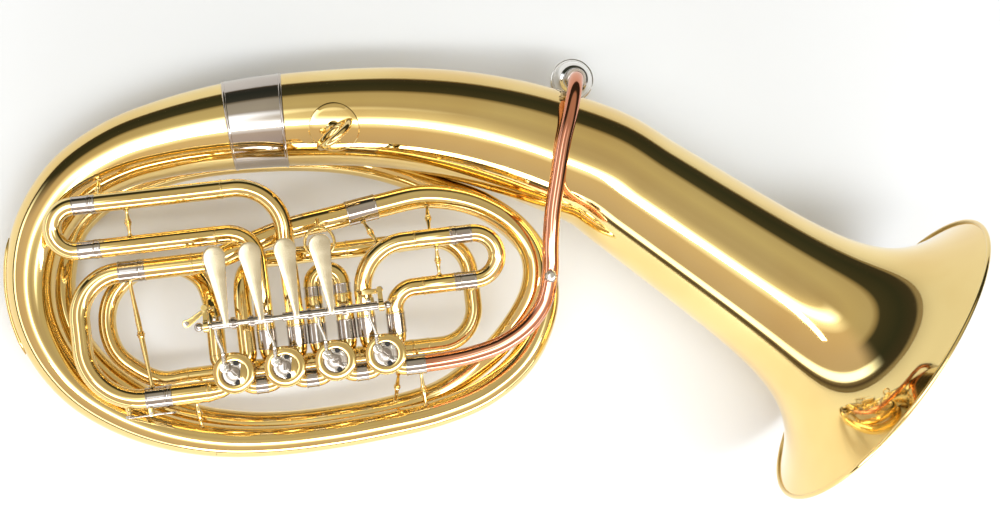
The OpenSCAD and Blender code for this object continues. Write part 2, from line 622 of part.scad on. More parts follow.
// The fourth loop drops behind the others and runs round the whole valve section.
end_4 = 24;
x4 = valve_x(4);
right_path = [
  [x4 + port_x, 0, port_z, port_r], [x4 + port_x, port_y, port_z, port_r],
  [x4 + port_x, 38, 27.5, port_r], [x4 + port_x + 0.5, 60, 24.5, port_r],
  [-103, 77, 17, port_r], [-91, 86.5, 5, port_r], [-72, loop4_top, low_z, port_r],
  [-50, loop4_top, low_z, port_r], [-30, loop4_top, low_z, port_r]
];
left_path = [
  [x4 - port_x, 0, port_z, port_r], [x4 - port_x, port_y, port_z, port_r],
  [x4 - port_x, 36, 26, port_r], [-131.5, 56, 17, port_r], [-138, 76, 5, port_r],
  [-152, 88, -1.5, port_r], [-172, 92.5, low_z, port_r], [-193, 88, low_z, port_r],
  [-211, 72, low_z, port_r], [-217, 50, low_z, port_r], [-212, 27, low_z, port_r],
  [-195, 9.5, low_z, port_r], [-178, 1, low_z, port_r], [-158, loop4_low, low_z, port_r],
  [-138, loop4_low, low_z, port_r]
];
module loop_4() color(BRASS) resting() {
  tube_along(right_path, 1, 7, 20, 16, port_wall);
  tube_along(left_path, 1, 13, 38, 16, port_wall);
  pipe_x(-49.95, -20, loop4_top, low_z, port_r, bore_r);
  pipe_x(-20, end_4, loop4_top, low_z, sleeve_r, sleeve_bore);
  pipe_x(-157.95, -20, loop4_low, low_z, port_r, bore_r);
  pipe_x(-20, end_4, loop4_low, low_z, sleeve_r, sleeve_bore);
}
// Moving half with two quarter bends and a straight; vectors hold the low and the high leg.
module wide_slide(y, z, dir, end, band, corner_x, corner, reach, outer, leg, inner) {
  for (i = [0, 1]) {
    pipe_x(end[i] + dir * 0.1, end[i] + dir * band, y[i], z, outer, inner - 0.2);
    pipe_x(end[i] - dir * reach, end[i] + dir * 0.1, y[i], z, leg, inner);
    if (abs(corner_x[i] - end[i]) > band + 0.5)
      pipe_x(end[i] + dir * band, corner_x[i], y[i], z, leg + 0.2, inner - 0.2);
  }
  bend([corner_x[1], y[1] - corner[1], z], corner[1], dir > 0 ? 0 : 90, 90, leg + 0.2, inner - 0.2);
  bend([corner_x[0], y[0] + corner[0], z], corner[0], dir > 0 ? -90 : 180, 90, leg + 0.2, inner - 0.2);
  pipe_y(y[0] + corner[0], y[1] - corner[1], corner_x[0] + dir * corner[0], z, leg + 0.2, inner - 0.2);
}
module slide_4() color(BRASS) resting()
  wide_slide([loop4_low, loop4_top], low_z, 1, [end_4, end_4], 14, [48, 48], [30, 30], 30,
             sleeve_r, leg_r, inner_bore);

module tuning_sleeves() color(BRASS) resting() {
  pipe_x(-132.05, -142, tuning_top, port_z, tuning_r, tuning_bore);
  pipe_x(-142, tuning_end[1], tuning_top, port_z, tuning_r, tuning_leg_r + fit);
  translate([x4 - port_y - 0.05, tuning_low, port_z]) rotate([0, -90, 0]) difference() {
    cylinder(h = tuning_taper, r1 = port_r + 0.3, r2 = tuning_r);
    translate([0, 0, -0.01]) cylinder(h = tuning_taper + 0.02, r1 = bore_r, r2 = tuning_bore);
  }
  pipe_x(x4 - port_y - 0.05 - tuning_taper, tuning_end[0], tuning_low, port_z, tuning_r,
         tuning_leg_r + fit);
  for (i = [0, 1])
    pipe_x(tuning_end[i], tuning_end[i] + 2, [tuning_low, tuning_top][i], port_z, tuning_r + 0.4, tuning_r);
}

// Water key hinge, nipple and the long cross stay travel with the tuning slide.
key_x = -186;
key_y = tuning_low - tuning_r - 4.6;
nipple_x = -203;
// Space inside the bands of the slide, which the stay and the hinge posts stop short of.
module tuning_band(y) {
  translate([-205, y, port_z]) rotate([0, 90, 0]) cylinder(h = 40, r = tuning_r - 0.4);
}
module tuning_slide() color(BRASS) resting() {
  wide_slide([tuning_low, tuning_top], port_z, -1, tuning_end, 16, tuning_bow_x, tuning_corner, 30,
             tuning_r, tuning_leg_r, tuning_bore);
  difference() {
    stay([-183.5, tuning_low + 4, port_z], [-191.5, tuning_top - 4, port_z], 2.4);
    for (y = [tuning_low, tuning_top]) tuning_band(y);
  }
  translate([nipple_x, tuning_low - tuning_leg_r - 3, port_z]) rotate([-90, 0, 0])
    cylinder(h = 5.7, r = 2.2);
  difference() {
    for (dz = [-4.4, 3]) translate([key_x - 2, key_y - 1, port_z + dz]) cube([4, 10, 1.4]);
    tuning_band(tuning_low);
    translate([key_x, key_y + 1.4, port_z - 6]) cylinder(h = 12, r = 0.9 + fit);
  }
}
module water_key() color(NICKEL) resting() {
  translate([key_x, key_y + 1.4, port_z - 4.6]) cylinder(h = 9.2, r = 0.9);
  translate([key_x, key_y + 1.4, port_z]) cylinder(h = 5.6, r = 2, center = true);
  translate([nipple_x - 2, key_y - 0.6, port_z - 2]) cube([36, 1.8, 4]);
  translate([nipple_x, key_y + 0.4, port_z]) rotate([-90, 0, 0]) cylinder(h = 1.5, r = 3.4);
  translate([nipple_x + 32, key_y - 0.6, port_z]) rotate([-90, 0, 0]) cylinder(h = 1.8, r = 4);
}

// ---------------------------------------------------------------- stays of the body

function on_loop(n, x, y) = [x, port_y + (y - port_y) * cos(tip(n)), port_z + (y - port_y) * sin(tip(n))];
// Stay from the surface of one tube to the surface of another.
module brace(p, rp, q, rq, r = 2) {
  d = unit(q - p);
  stay(p + (rp + 0.1) * d, q - (rq + 0.1) * d, r);
}
brace_3_x = -185;
brace_1_x = 50;
module body_braces() color(BRASS) resting() {
  brace(on_loop(3, brace_3_x, near_3[2]), sleeve_r, on_loop(3, brace_3_x, far_3[2]), sleeve_r);
  brace(on_loop(1, brace_1_x, near_1[2]), sleeve_r, on_loop(1, brace_1_x, far_1[2]), sleeve_r);
  brace(on_loop(1, 46, far_1[2]), sleeve_r, place(cone_path, 6), 9.8);
  brace(on_loop(1, 7, 83), sleeve_r, place(cone_path, 4.5), 10.8);
  brace([-152, tuning_low, port_z], tuning_r, place(cone_path, 43.25), 14.05);
  brace([9.5, -port_x - 1, port_z], port_r, place(cone_path, 13.9), 10.2);
  brace([26, -port_x, port_z], 7.9, place(cone_path, 39.2), 11.3);
  brace(on_loop(3, -206, far_3[2]), sleeve_r, place(cone_path, 51.6), 28);
}

bell_flare();
bell_throat();
garland();
outer_bow();
right_bow();
back_branch();
inner_bow();
front_bow();
front_branch();
guard_strip();
strap_plate();
strap_ring();
ferrules();
casing(1);  // casing_1
casing(2);  // casing_2
casing(3);  // casing_3
casing(4);  // casing_4
bearing_plates();
valve_caps();
rear_caps();
rubber_stops();
connectors();
lever_shaft();
shaft_brackets();
return_springs();
finger_ring();
leadpipe();
receiver();
loop_1();
loop_2();
loop_3();
loop_4();
tuning_sleeves();
body_braces();
drain_barrel();
rotor(1);  // rotor_1
rotor(2);  // rotor_2
rotor(3);  // rotor_3
rotor(4);  // rotor_4
stop_arm(1);  // stop_arm_1
stop_arm(2);  // stop_arm_2
stop_arm(3);  // stop_arm_3
stop_arm(4);  // stop_arm_4
lever(1);  // lever_1
lever(2);  // lever_2
lever(3);  // lever_3
lever(4);  // lever_4
link(1);  // link_1
link(2);  // link_2
link(3);  // link_3
link(4);  // link_4
slide_1();
slide_2();
slide_3();
slide_4();
tuning_slide();
water_key();
drain_button();
mouthpiece();
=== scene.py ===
import json
from math import acos, asin, atan2, cos, degrees, exp, floor, pi, radians, sin, sqrt, tan

import bmesh
import bpy
from mathutils import Euler, Matrix, Vector


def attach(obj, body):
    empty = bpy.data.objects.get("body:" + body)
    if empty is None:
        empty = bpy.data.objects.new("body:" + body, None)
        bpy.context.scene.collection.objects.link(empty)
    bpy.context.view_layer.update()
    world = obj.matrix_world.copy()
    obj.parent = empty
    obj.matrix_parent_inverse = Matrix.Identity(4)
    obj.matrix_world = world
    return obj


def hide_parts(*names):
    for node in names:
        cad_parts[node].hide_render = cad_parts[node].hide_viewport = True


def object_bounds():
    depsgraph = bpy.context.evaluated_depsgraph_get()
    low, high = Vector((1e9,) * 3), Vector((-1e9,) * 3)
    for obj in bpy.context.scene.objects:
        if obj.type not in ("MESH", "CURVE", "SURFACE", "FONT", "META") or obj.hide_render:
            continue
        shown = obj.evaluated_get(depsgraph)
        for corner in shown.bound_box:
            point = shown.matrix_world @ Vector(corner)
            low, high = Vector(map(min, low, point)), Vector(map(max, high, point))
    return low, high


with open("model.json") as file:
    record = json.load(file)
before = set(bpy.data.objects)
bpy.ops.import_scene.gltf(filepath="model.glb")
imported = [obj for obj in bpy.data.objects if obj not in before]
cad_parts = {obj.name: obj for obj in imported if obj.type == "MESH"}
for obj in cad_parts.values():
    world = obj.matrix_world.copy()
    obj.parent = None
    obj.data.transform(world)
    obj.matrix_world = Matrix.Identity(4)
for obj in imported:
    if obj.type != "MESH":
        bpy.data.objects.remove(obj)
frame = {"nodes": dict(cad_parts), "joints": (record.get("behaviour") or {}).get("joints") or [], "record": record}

cad_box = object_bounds()


def V(*a):
    return Vector(a)


ALONG, ACROSS, UP = V(1, 0, 0), V(0, 1, 0), V(0, 0, 1)

# ---- body axes
# Pieces are drawn in the instrument's own axes, in millimetres: X along the valve row,
# Z along the rotors, origin on the first rotor's axis in the plane of the bell axis.
JOINTS = {j["name"]: j for j in frame["joints"]}
PORT_Z = 28.0
MM = 0.001
AXIS_X = Vector(JOINTS["slide_1_pull"]["axis"]).normalized()
AXIS_Z = Vector(JOINTS["rotor_1_turn"]["axis"]).normalized()
AXIS_Y = AXIS_Z.cross(AXIS_X)
ORIGIN = Vector(JOINTS["rotor_1_turn"]["pos_m"]) - AXIS_Z * PORT_Z * MM
TO_ROW = Matrix((AXIS_X, AXIS_Y, AXIS_Z)).transposed().to_4x4()
TO_ROW.translation = ORIGIN


# ---- materials
def nodes_of(name):
    material = bpy.data.materials.new(name)
    material.use_nodes = True
    tree = material.node_tree
    return material, tree, tree.nodes["Principled BSDF"]


def plug(tree, source, node, socket):
    tree.links.new(source, node.inputs[socket])


def add(tree, kind, source=None, socket=0, **values):
    """New node with its values set; source, if any, goes into the named socket."""
    node = tree.nodes.new(kind)
    for key, value in values.items():
        if key in node.inputs:
            node.inputs[key].default_value = value
        else:
            setattr(node, key, value)
    if source:
        plug(tree, source, node, socket)
    return node


def remap(tree, source, low, high, to_low=0.0, to_high=1.0):
    limits = {"From Min": low, "From Max": high, "To Min": to_low, "To Max": to_high}
    return add(tree, "ShaderNodeMapRange", source, **limits).outputs["Result"]


def mixed(tree, source, first, second):
    """Colour between two colours, steered by source."""
    mix = add(tree, "ShaderNodeMixRGB", source)
    mix.inputs[1].default_value = (*first, 1)
    mix.inputs[2].default_value = (*second, 1)
    return mix.outputs[0]


def metal(name, bright, deep, rough, scratch=0.35, lacquer=0.0):
    """Polished metal: colour drifts a little, with specks, wiping marks and hairline scratches."""
    material, tree, shader = nodes_of(name)
    coat = {"Metallic": 1.0, "Coat Weight": lacquer, "Coat Roughness": 0.04, "Coat IOR": 1.5}
    for key, value in coat.items():
        shader.inputs[key].default_value = value
    place = add(tree, "ShaderNodeTexCoord").outputs["Object"]
    # slow drift of colour
    drift = add(tree, "ShaderNodeTexNoise", place, Scale=9.0, Detail=3.0, Roughness=0.55)
    tint = mixed(tree, remap(tree, drift.outputs["Fac"], 0.38, 0.68), bright, deep)
    # tiny dull specks in the finish
    specks = add(tree, "ShaderNodeTexVoronoi", place, Scale=520.0)
    shade = add(tree, "ShaderNodeMixRGB", tint, 1, blend_type="MULTIPLY")
    shade.inputs[0].default_value = 1.0
    plug(tree, remap(tree, specks.outputs["Distance"], 0.05, 0.09, 0.86, 1.0), shade, 2)
    plug(tree, shade.outputs[0], shader, "Base Color")
    # wiping marks: long soft noise in the roughness
    drawn = add(tree, "ShaderNodeMapping", place, Scale=(22.0, 70.0, 40.0), Rotation=(0.3, 0.2, 0.6))
    wipe = add(tree, "ShaderNodeTexNoise", drawn.outputs["Vector"], Scale=1.0, Detail=5.0, Roughness=0.6)
    plug(tree, remap(tree, wipe.outputs["Fac"], 0.35, 0.75, *rough), shader, "Roughness")
    # hairline scratches and a faint waviness as bump
    drawn = add(tree, "ShaderNodeMapping", place, Scale=(90.0, 1900.0, 500.0), Rotation=(0.1, 0.4, 0.5))
    hair = add(tree, "ShaderNodeTexNoise", drawn.outputs["Vector"], Scale=1.0, Detail=2.0).outputs["Fac"]
    wave = add(tree, "ShaderNodeTexNoise", place, Scale=26.0, Detail=1.0).outputs["Fac"]
    fine = add(tree, "ShaderNodeBump", hair, "Height", Strength=scratch * 0.05, Distance=0.0001)
    broad = add(tree, "ShaderNodeBump", wave, "Height", Strength=0.05, Distance=0.0012)
    plug(tree, fine.outputs["Normal"], broad, "Normal")
    plug(tree, broad.outputs["Normal"], shader, "Normal")
    return material


def rubber(name):
    material, tree, shader = nodes_of(name)
    place = add(tree, "ShaderNodeTexCoord").outputs["Object"]
    grain = add(tree, "ShaderNodeTexNoise", place, Scale=900.0, Detail=4.0).outputs["Fac"]
    plug(tree, mixed(tree, grain, (0.012, 0.012, 0.013), (0.035, 0.033, 0.032)), shader, "Base Color")
    plug(tree, remap(tree, grain, 0.0, 1.0, 0.5, 0.8), shader, "Roughness")
    bump = add(tree, "ShaderNodeBump", grain, "Height", Strength=0.3, Distance=0.0001)
    plug(tree, bump.outputs["Normal"], shader, "Normal")
    return material


BRASS = metal("lacquered_brass", (0.90, 0.69, 0.29), (0.84, 0.60, 0.23), (0.03, 0.09), lacquer=0.2)
NICKEL = metal("nickel_silver", (0.58, 0.52, 0.47), (0.46, 0.41, 0.37), (0.05, 0.13))
SILVER = metal("silver_plate", (0.90, 0.88, 0.84), (0.83, 0.80, 0.76), (0.04, 0.10))
COPPER = metal("gold_brass", (0.80, 0.36, 0.22), (0.68, 0.26, 0.15), (0.03, 0.09), lacquer=0.15)
SATIN = metal("satin_nickel", (0.86, 0.75, 0.54), (0.80, 0.67, 0.45), (0.18, 0.30), scratch=1.2)
BRUSHED = metal("brushed_nickel", (0.60, 0.53, 0.46), (0.48, 0.42, 0.36), (0.24, 0.36), scratch=1.4)
RUBBER = rubber("bumper_rubber")
SLOTS = {"lacquered_brass": BRASS, "nickel_silver": NICKEL, "silver_plate": SILVER,
         "gold_brass": COPPER, "bumper_rubber": RUBBER}


# ---- outlines and profiles
def circle(centre, side, up, r, sides):
    angles = (2 * pi * k / sides for k in range(sides))
    return [centre + (side * cos(a) + up * sin(a)) * r for a in angles]


def arc(cx, cy, r, start, sweep, steps, tall=None):
    """Round stretch of an outline, angles in degrees; tall is the upright radius of an oval."""
    angles = (radians(start + sweep * k / steps) for k in range(steps + 1))
    return [(cx + r * cos(a), cy + (tall or r) * sin(a)) for a in angles]


def bead(middle, half, base, high, steps=8):
    """Half-round rise in a turned profile, half its width either side of the middle."""
    angles = (pi * k / steps for k in range(steps + 1))
    return [(middle - half * cos(a), base + high * sin(a)) for a in angles]


def sleeve_rows(length, r, inner, lip=0.35, width=1.4):
    """Profile of a ferrule: a plain band with a rounded lip at its ends."""
    half = (width - 0.1) / 2
    return [(0.0, inner), (0.0, r), *bead(0.1 + half, half, r, lip, 6),
            *bead(length - 0.1 - half, half, r, lip, 6), (length, r), (length, inner)]


def filled(*rows):
    """Profile of a solid turned piece: its rows, closed on the axis at both ends."""
    return [(rows[0][0], 0.0), *rows, (rows[-1][0], 0.0)]


def piped(inner, *rows):
    """Profile of a turned piece with a bore: its rows, closed on the bore at both ends."""
    return [(rows[0][0], inner), *rows, (rows[-1][0], inner)]


def across(axis):
    """Two directions square to an axis and to each other."""
    side = axis.cross(UP if abs(axis.z) < 0.9 else ALONG).normalized()
    return side, side.cross(axis)


# ---- mesh building
class Shell:
    """Collects the surfaces of one piece, in body millimetres."""

    def __init__(self):
        self.verts, self.faces = [], []

    def rings(self, rings, loop=False):
        """Joins rings of equal length into a skin; a one-point ring closes the end."""
        start = []
        for ring in rings:
            start.append((len(self.verts), len(ring)))
            self.verts.extend(ring)
        pairs = list(zip(start, start[1:]))
        if loop:
            pairs.append((start[-1], start[0]))
        for (a, na), (b, nb) in pairs:
            n = max(na, nb)
            for k in range(n):
                j = (k + 1) % n
                if na == 1:
                    self.faces.append((a, b + j, b + k))
                elif nb == 1:
                    self.faces.append((a + k, a + j, b))
                else:
                    self.faces.append((a + k, a + j, b + j, b + k))

    def closed(self, rings):
        """Skin of equal rings with a flat face over each end."""
        base, n = len(self.verts), len(rings[0])
        self.rings(rings)
        top = base + (len(rings) - 1) * n
        self.faces.append(tuple(base + k for k in reversed(range(n))))
        self.faces.append(tuple(top + k for k in range(n)))
        return self

    def tube(self, points, outer, inner=None, sides=48):
        """Round tube along points. outer and inner are radii or lists of radii; inner None is solid."""
        last = len(points) - 1
        tangents = []
        for i in range(last + 1):
            tangents.append((points[min(i + 1, last)] - points[max(i - 1, 0)]).normalized())
        side = across(tangents[0])[0]
        frames = []
        for t in tangents:
            side = (side - t * side.dot(t)).normalized()
            frames.append((side.copy(), side.cross(t)))

        def skin(radii):
            radii = radii if isinstance(radii, list) else [radii] * (last + 1)
            return [circle(p, *f, r, sides) for p, f, r in zip(points, frames, radii)]

        if inner is None:
            self.rings([[points[0]]] + skin(outer) + [[points[-1]]])
        else:
            self.rings(skin(outer) + skin(inner)[::-1], loop=True)
        return self

    def lathe(self, origin, axis, profile, segs=64):
        """Turned shape: profile rows are (distance along the axis, radius)."""
        axis = axis.normalized()
        side, up = across(axis)
        rings = []
        for d, r in profile:
            centre = origin + axis * d
            rings.append([centre] if r < 1e-6 else circle(centre, side, up, r, segs))
        self.rings(rings, loop=profile[0][1] > 1e-6 and profile[-1][1] > 1e-6)
        return self

    def torus(self, centre, axis, radius, wire, segs=96, sides=24):
        angles = (2 * pi * k / sides for k in range(sides))
        profile = [(wire * sin(a), radius + wire * cos(a)) for a in angles]
        return self.lathe(centre, axis, profile, segs)

    def ball(self, centre, r):
        angles = (pi * k / 20 for k in range(1, 20))
        profile = [(-r * cos(a), r * sin(a)) for a in angles]
        return self.lathe(centre, UP, [(-r, 0.0), *profile, (r, 0.0)], 40)

    def slab(self, outline, place, low, high, soft=0.4):
        """Plate with rounded edges. outline: 2-D points anticlockwise; place maps (x, y, z) to body mm."""
        points = [Vector(p) for p in outline]
        normals = []
        for i in range(len(points)):
            e = points[(i + 1) % len(points)] - points[i - 1]
            normals.append(Vector((e.y, -e.x)).normalized())
        rings, steps = [], 4
        for z, sign, order in ((low, 1, range(steps + 1)), (high, -1, range(steps, -1, -1))):
            for k in order:
                a = pi / 2 * k / steps
                inset = soft * (1 - sin(a))
                level = z + soft * (1 - cos(a)) * sign
                rings.append([place(p.x - m.x * inset, p.y - m.y * inset, level)
                              for p, m in zip(points, normals)])
        return self.closed(rings)

    def block(self, lo, hi, soft=0.3):
        """Bar with rounded edges between two corners."""
        (x0, y0, z0), (x1, y1, z1) = lo, hi
        r = min(soft * 2, (x1 - x0) / 2.01, (y1 - y0) / 2.01)
        out = arc(x1 - r, y1 - r, r, 0, 90, 4) + arc(x0 + r, y1 - r, r, 90, 90, 4)
        out += arc(x0 + r, y0 + r, r, 180, 90, 4) + arc(x1 - r, y0 + r, r, 270, 90, 4)
        return self.slab(out, V, z0, z1, soft)

    def make(self, name, material, body, *nodes, angle=32):
        mesh = bpy.data.meshes.new(name)
        mesh.from_pydata([TO_ROW @ (v * MM) for v in self.verts], [], self.faces)
        bm = bmesh.new()
        bm.from_mesh(mesh)
        bmesh.ops.remove_doubles(bm, verts=bm.verts, dist=1e-7)
        bmesh.ops.recalc_face_normals(bm, faces=bm.faces)
        bm.to_mesh(mesh)
        bm.free()
        mesh.shade_smooth()
        mesh.set_sharp_from_angle(angle=radians(angle))
        mesh.materials.append(material)
        ob = bpy.data.objects.new(name, mesh)
        bpy.context.scene.collection.objects.link(ob)
        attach(ob, body)
        if nodes:
            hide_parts(*nodes)
        return ob


# ---- routes
def spline(rows, u):
    i = min(int(floor(u)), len(rows) - 1)
    f = u - i
    a, b, c, d = (rows[max(0, min(len(rows) - 1, k))] for k in (i - 1, i, i + 1, i + 2))
    return [0.5 * (2 * q + (r - p) * f + (2 * p - 5 * q + 4 * r - s) * f * f
                   + (3 * q - p - 3 * r + s) * f ** 3) for p, q, r, s in zip(a, b, c, d)]


def at(rows, u):
    return V(*spline(rows, u)[:3])


def radius_at(rows, u):
    return spline(rows, u)[3]


def heading(rows, u):
    return (at(rows, u + 0.01) - at(rows, u - 0.01)).normalized()


def stations(rows, u0, u1, gap):
    """Values of u about gap millimetres apart."""
    n = max(2, int((u1 - u0) * 24))
    us = [u0 + (u1 - u0) * k / n for k in range(n + 1)]
    length = [0.0]
    for a, b in zip(us, us[1:]):
        length.append(length[-1] + (at(rows, b) - at(rows, a)).length)
    m = max(2, int(length[-1] / gap))
    out, k = [], 0
    for j in range(m + 1):
        want = length[-1] * j / m
        while k < n - 1 and length[k + 1] < want:
            k += 1
        f = (want - length[k]) / max(length[k + 1] - length[k], 1e-9)
        out.append(us[k] + (us[k + 1] - us[k]) * min(max(f, 0), 1))
    return out, length[-1]


def corner_route(points, radii, step=3.0):
    """Straight runs joined by round bends of the given radii."""
    out = [points[0]]
    for i in range(1, len(points) - 1):
        p = points[i]
        a, b = (points[i - 1] - p).normalized(), (points[i + 1] - p).normalized()
        r = radii[i - 1]
        half = a.angle(b) / 2
        reach = r / tan(half)
        centre = p + (a + b).normalized() * (r / sin(half))
        start, end = p + a * reach, p + b * reach
        sweep = pi - 2 * half
        n = max(6, int(r * sweep / step), int(sweep / 0.06))
        e1 = (start - centre).normalized()
        e2 = (end - centre)
        e2 = (e2 - e1 * e2.dot(e1)).normalized()
        for k in range(n + 1):
            t = sweep * k / n
            q = centre + (e1 * cos(t) + e2 * sin(t)) * r
            if (q - out[-1]).length > 0.05:
                out.append(q)
    if (points[-1] - out[-1]).length > 0.05:
        out.append(points[-1])
    return out


# Conical tube from the main tuning slide to the bell throat: x, y, z, outer radius.
BELL_TURN = radians(-40.5)
BELL_DIR = V(cos(BELL_TURN), sin(BELL_TURN), 0)
BELL_C = V(414, -56, 0)
FLARE_LEN, FLARE_THROAT, BELL_R, SHEET = 250.0, 53.4, 139.0, 1.0
THROAT_END = BELL_C - BELL_DIR * FLARE_LEN
before_end = THROAT_END - BELL_DIR * 35
after_end = THROAT_END + BELL_DIR * 25
CONE = [
    [-160, 89, PORT_Z, 8.6], [-130, 89, PORT_Z, 8.6], [-104, 97, 26.5, 8.8], [-67, 107.5, 24.5, 9.1],
    [-28, 113, 23, 9.4], [10, 118.5, 20.5, 9.6], [48, 122, 17.5, 9.7], [86, 112, 16, 9.7],
    [115, 91, 15, 9.8], [129, 64, 15, 9.8], [125, 35, 12, 9.8], [105, 6, 4, 9.9],
    [78, -18.5, -11, 10], [43, -38, -18, 10.1], [0, -46, -19, 10.2], [-40, -48, -19, 10.2],
    [-78, -48, -20, 10.3], [-116, -44, -20.5, 10.3], [-154, -34, -20.5, 10.4],
    [-190, -17, -20.5, 10.4], [-222, 9, -20.5, 10.5], [-243, 39, -21, 10.5], [-252, 72, -22, 10.6],
    [-249, 105, -25.5, 10.7], [-236, 135, -31.5, 10.7], [-208, 157, -36.5, 10.8],
    [-171, 169.5, -40.5, 10.9], [-130, 175, -43.5, 10.9], [-88, 175, -45, 11],
    [-46, 171.5, -46, 11], [-7, 164, -45, 11.1], [30, 150, -37.5, 11.2], [64, 130, -22, 11.3],
    [98, 110.5, -11, 11.3], [125, 84, -8, 11.4], [139, 51, -8, 11.4], [135, 17, -6, 11.5],
    [113.5, -18.5, -3.5, 11.4], [79, -42, -1, 11.2], [38, -53.5, 0, 11.2], [-6, -58, 0, 11.4],
    [-50, -60, 0, 11.6], [-96, -59, 0, 12], [-140, -53, 0, 13], [-181, -40, 0, 14],
    [-216, -21, 0, 14.8], [-243.5, 3, 0, 15.6], [-262.5, 34, 0, 16.8], [-271.5, 68, 0, 18.1],
    [-269.5, 103, 0, 20], [-256, 137, 0, 22.3], [-229, 167, 0, 25], [-192, 185.5, 0, 28.2],
    [-150, 194.5, 0, 31.5], [-103, 198.5, 0, 35.2], [-57, 198.8, 0, 37.5], [-10, 196, 0, 39.4],
    [35, 190.2, 0, 41.8], [80, 180, 0, 44.8], [123, 165.5, 0, 47.8], [161, 148.5, 0, 50],
    [before_end.x, before_end.y, 0, 51.6], [THROAT_END.x, THROAT_END.y, 0, FLARE_THROAT],
    [after_end.x, after_end.y, 0, FLARE_THROAT],
]
BRANCH, FRONT, INNER, BACK, RIGHT, BOW = 4.62, 13, 26, 33, 43, 54.5
THROAT_STOP = len(CONE) - 2

# Valve section sizes, as in the frame.
KNUCKLE = 8.0
ROTOR_R, BORE = 13.2, 6.3
PORT_START = ROTOR_R * cos(radians(45))
PORT_X = PORT_START - KNUCKLE * cos(radians(45)) + KNUCKLE
PORT_Y = PORT_START + KNUCKLE * cos(radians(45))
PORT_R, CASING_LOW = 7.1, 13.0
VALVE_X = [0.0, -39.5, -79.0, -118.5]
SLEEVE, LEG, BOW_R, FIT = 7.3, 6.8, 7.0, 0.05

MOUTH_DIR = V(0.1325, 0.1368, -0.9816).normalized()
MOUTH_RIM = V(193.5, 216, -62)
MOUTH_LEN, SHANK_IN, RECEIVER_LEN = 82.0, 22.0, 34.0
RECEIVER_END = MOUTH_RIM - MOUTH_DIR * (MOUTH_LEN - SHANK_IN + RECEIVER_LEN)
FERRULE_END = 31.0
lead_before = RECEIVER_END + MOUTH_DIR * 20
LEAD = [
    [*lead_before, 5.9], [*RECEIVER_END, 5.9], [177.8, 198.5, 42, 6], [173.5, 188, 52.5, 6],
    [166.5, 169, 57.6, 6.1], [159, 149, 58, 6.2], [151, 121.5, 56.6, 6.3], [144, 95, 54, 6.4],
    [139.8, 70, 50, 6.5], [137.2, 47, 45.5, 6.6], [130, 25, 40.5, 6.7], [115, 8, 37, 6.8],
    [93, -4, 33.5, 6.9], [68, -9.6, 30.6, 7], [48, -11.3, 28.8, 7],
    [FERRULE_END, -PORT_X, PORT_Z, 7], [10, -PORT_X, PORT_Z, 7],
]


# ---- conical tubing
for name, u0, u1, gap, sides in (
    ("front_branch", 1, BRANCH, 4, 64), ("front_bow", BRANCH, FRONT, 4, 64),
    ("inner_bow", FRONT, INNER, 4, 64), ("back_branch", INNER, BACK, 4, 64),
    ("right_bow", BACK, RIGHT, 4, 64), ("outer_bow", RIGHT, BOW, 5, 96),
):
    us, _ = stations(CONE, u0, u1, gap)
    radii = [radius_at(CONE, u) for u in us]
    s = Shell().tube([at(CONE, u) for u in us], radii, [r - SHEET for r in radii], sides)
    s.make(f"{name}_tube", BRASS, "body", name)


def flare_r(t):
    """Radius at a distance behind the bell's opening: a slight cone and a quick spread."""
    cone, decay = 0.06, 31
    spread = BELL_R - FLARE_THROAT - cone * FLARE_LEN
    return FLARE_THROAT + cone * (FLARE_LEN - t) + spread * exp(-t / decay)


def level_and_up(h):
    """Directions across a route: one level, one upwards."""
    side = h.cross(UP).normalized()
    return side, side.cross(h)


def bell():
    """Throat and flare in one skin, so that no joint shows where they meet."""
    us, _ = stations(CONE, BOW, THROAT_STOP, 6)
    path = [(at(CONE, u), heading(CONE, u), radius_at(CONE, u)) for u in us[:-1]]
    steps, sides = 110, 256
    ts = [FLARE_LEN * (k / steps) ** 1.6 for k in range(steps, -1, -1)]
    path += [(BELL_C - BELL_DIR * t, BELL_DIR, flare_r(t)) for t in ts]
    outside = [circle(p, *level_and_up(h), r, sides) for p, h, r in path]
    inside = [circle(p, *level_and_up(h), r - SHEET, sides) for p, h, r in path]
    s = Shell()
    s.rings(outside + inside[::-1], loop=True)
    s.torus(BELL_C - BELL_DIR * 0.6, BELL_DIR, BELL_R - 0.42, 1.87, sides, 20)
    s.make("bell_skin", BRASS, "body", "bell_throat", "bell_flare")


bell()


def band_along(shell, rows, u0, u1, profile, sides):
    """Sleeve round a conical tube. profile gives (distance from start, height over the tube)."""
    us, total = stations(rows, u0, u1, 0.5)
    rings = []
    for s, dr in profile(total):
        k = min(max(s / total, 0), 1) * (len(us) - 1)
        i = min(int(k), len(us) - 2)
        u = us[i] + (us[i + 1] - us[i]) * (k - i)
        rings.append(circle(at(rows, u), *level_and_up(heading(rows, u)), radius_at(rows, u) + dr, sides))
    shell.rings(rings, loop=True)


def garland_profile(total):
    return [(0.0, 0.05), *bead(1.5, 1.2, 0.6, 0.75), (3.2, 0.6),
            *((s, 0.6) for s in range(6, int(total) - 5, 4)), (total - 3.2, 0.6),
            *bead(total - 1.5, 1.2, 0.6, 0.75), (total, 0.05)]


g = Shell()
band_along(g, CONE, 54, 55, garland_profile, 128)
g.make("garland_band", NICKEL, "body", "garland")


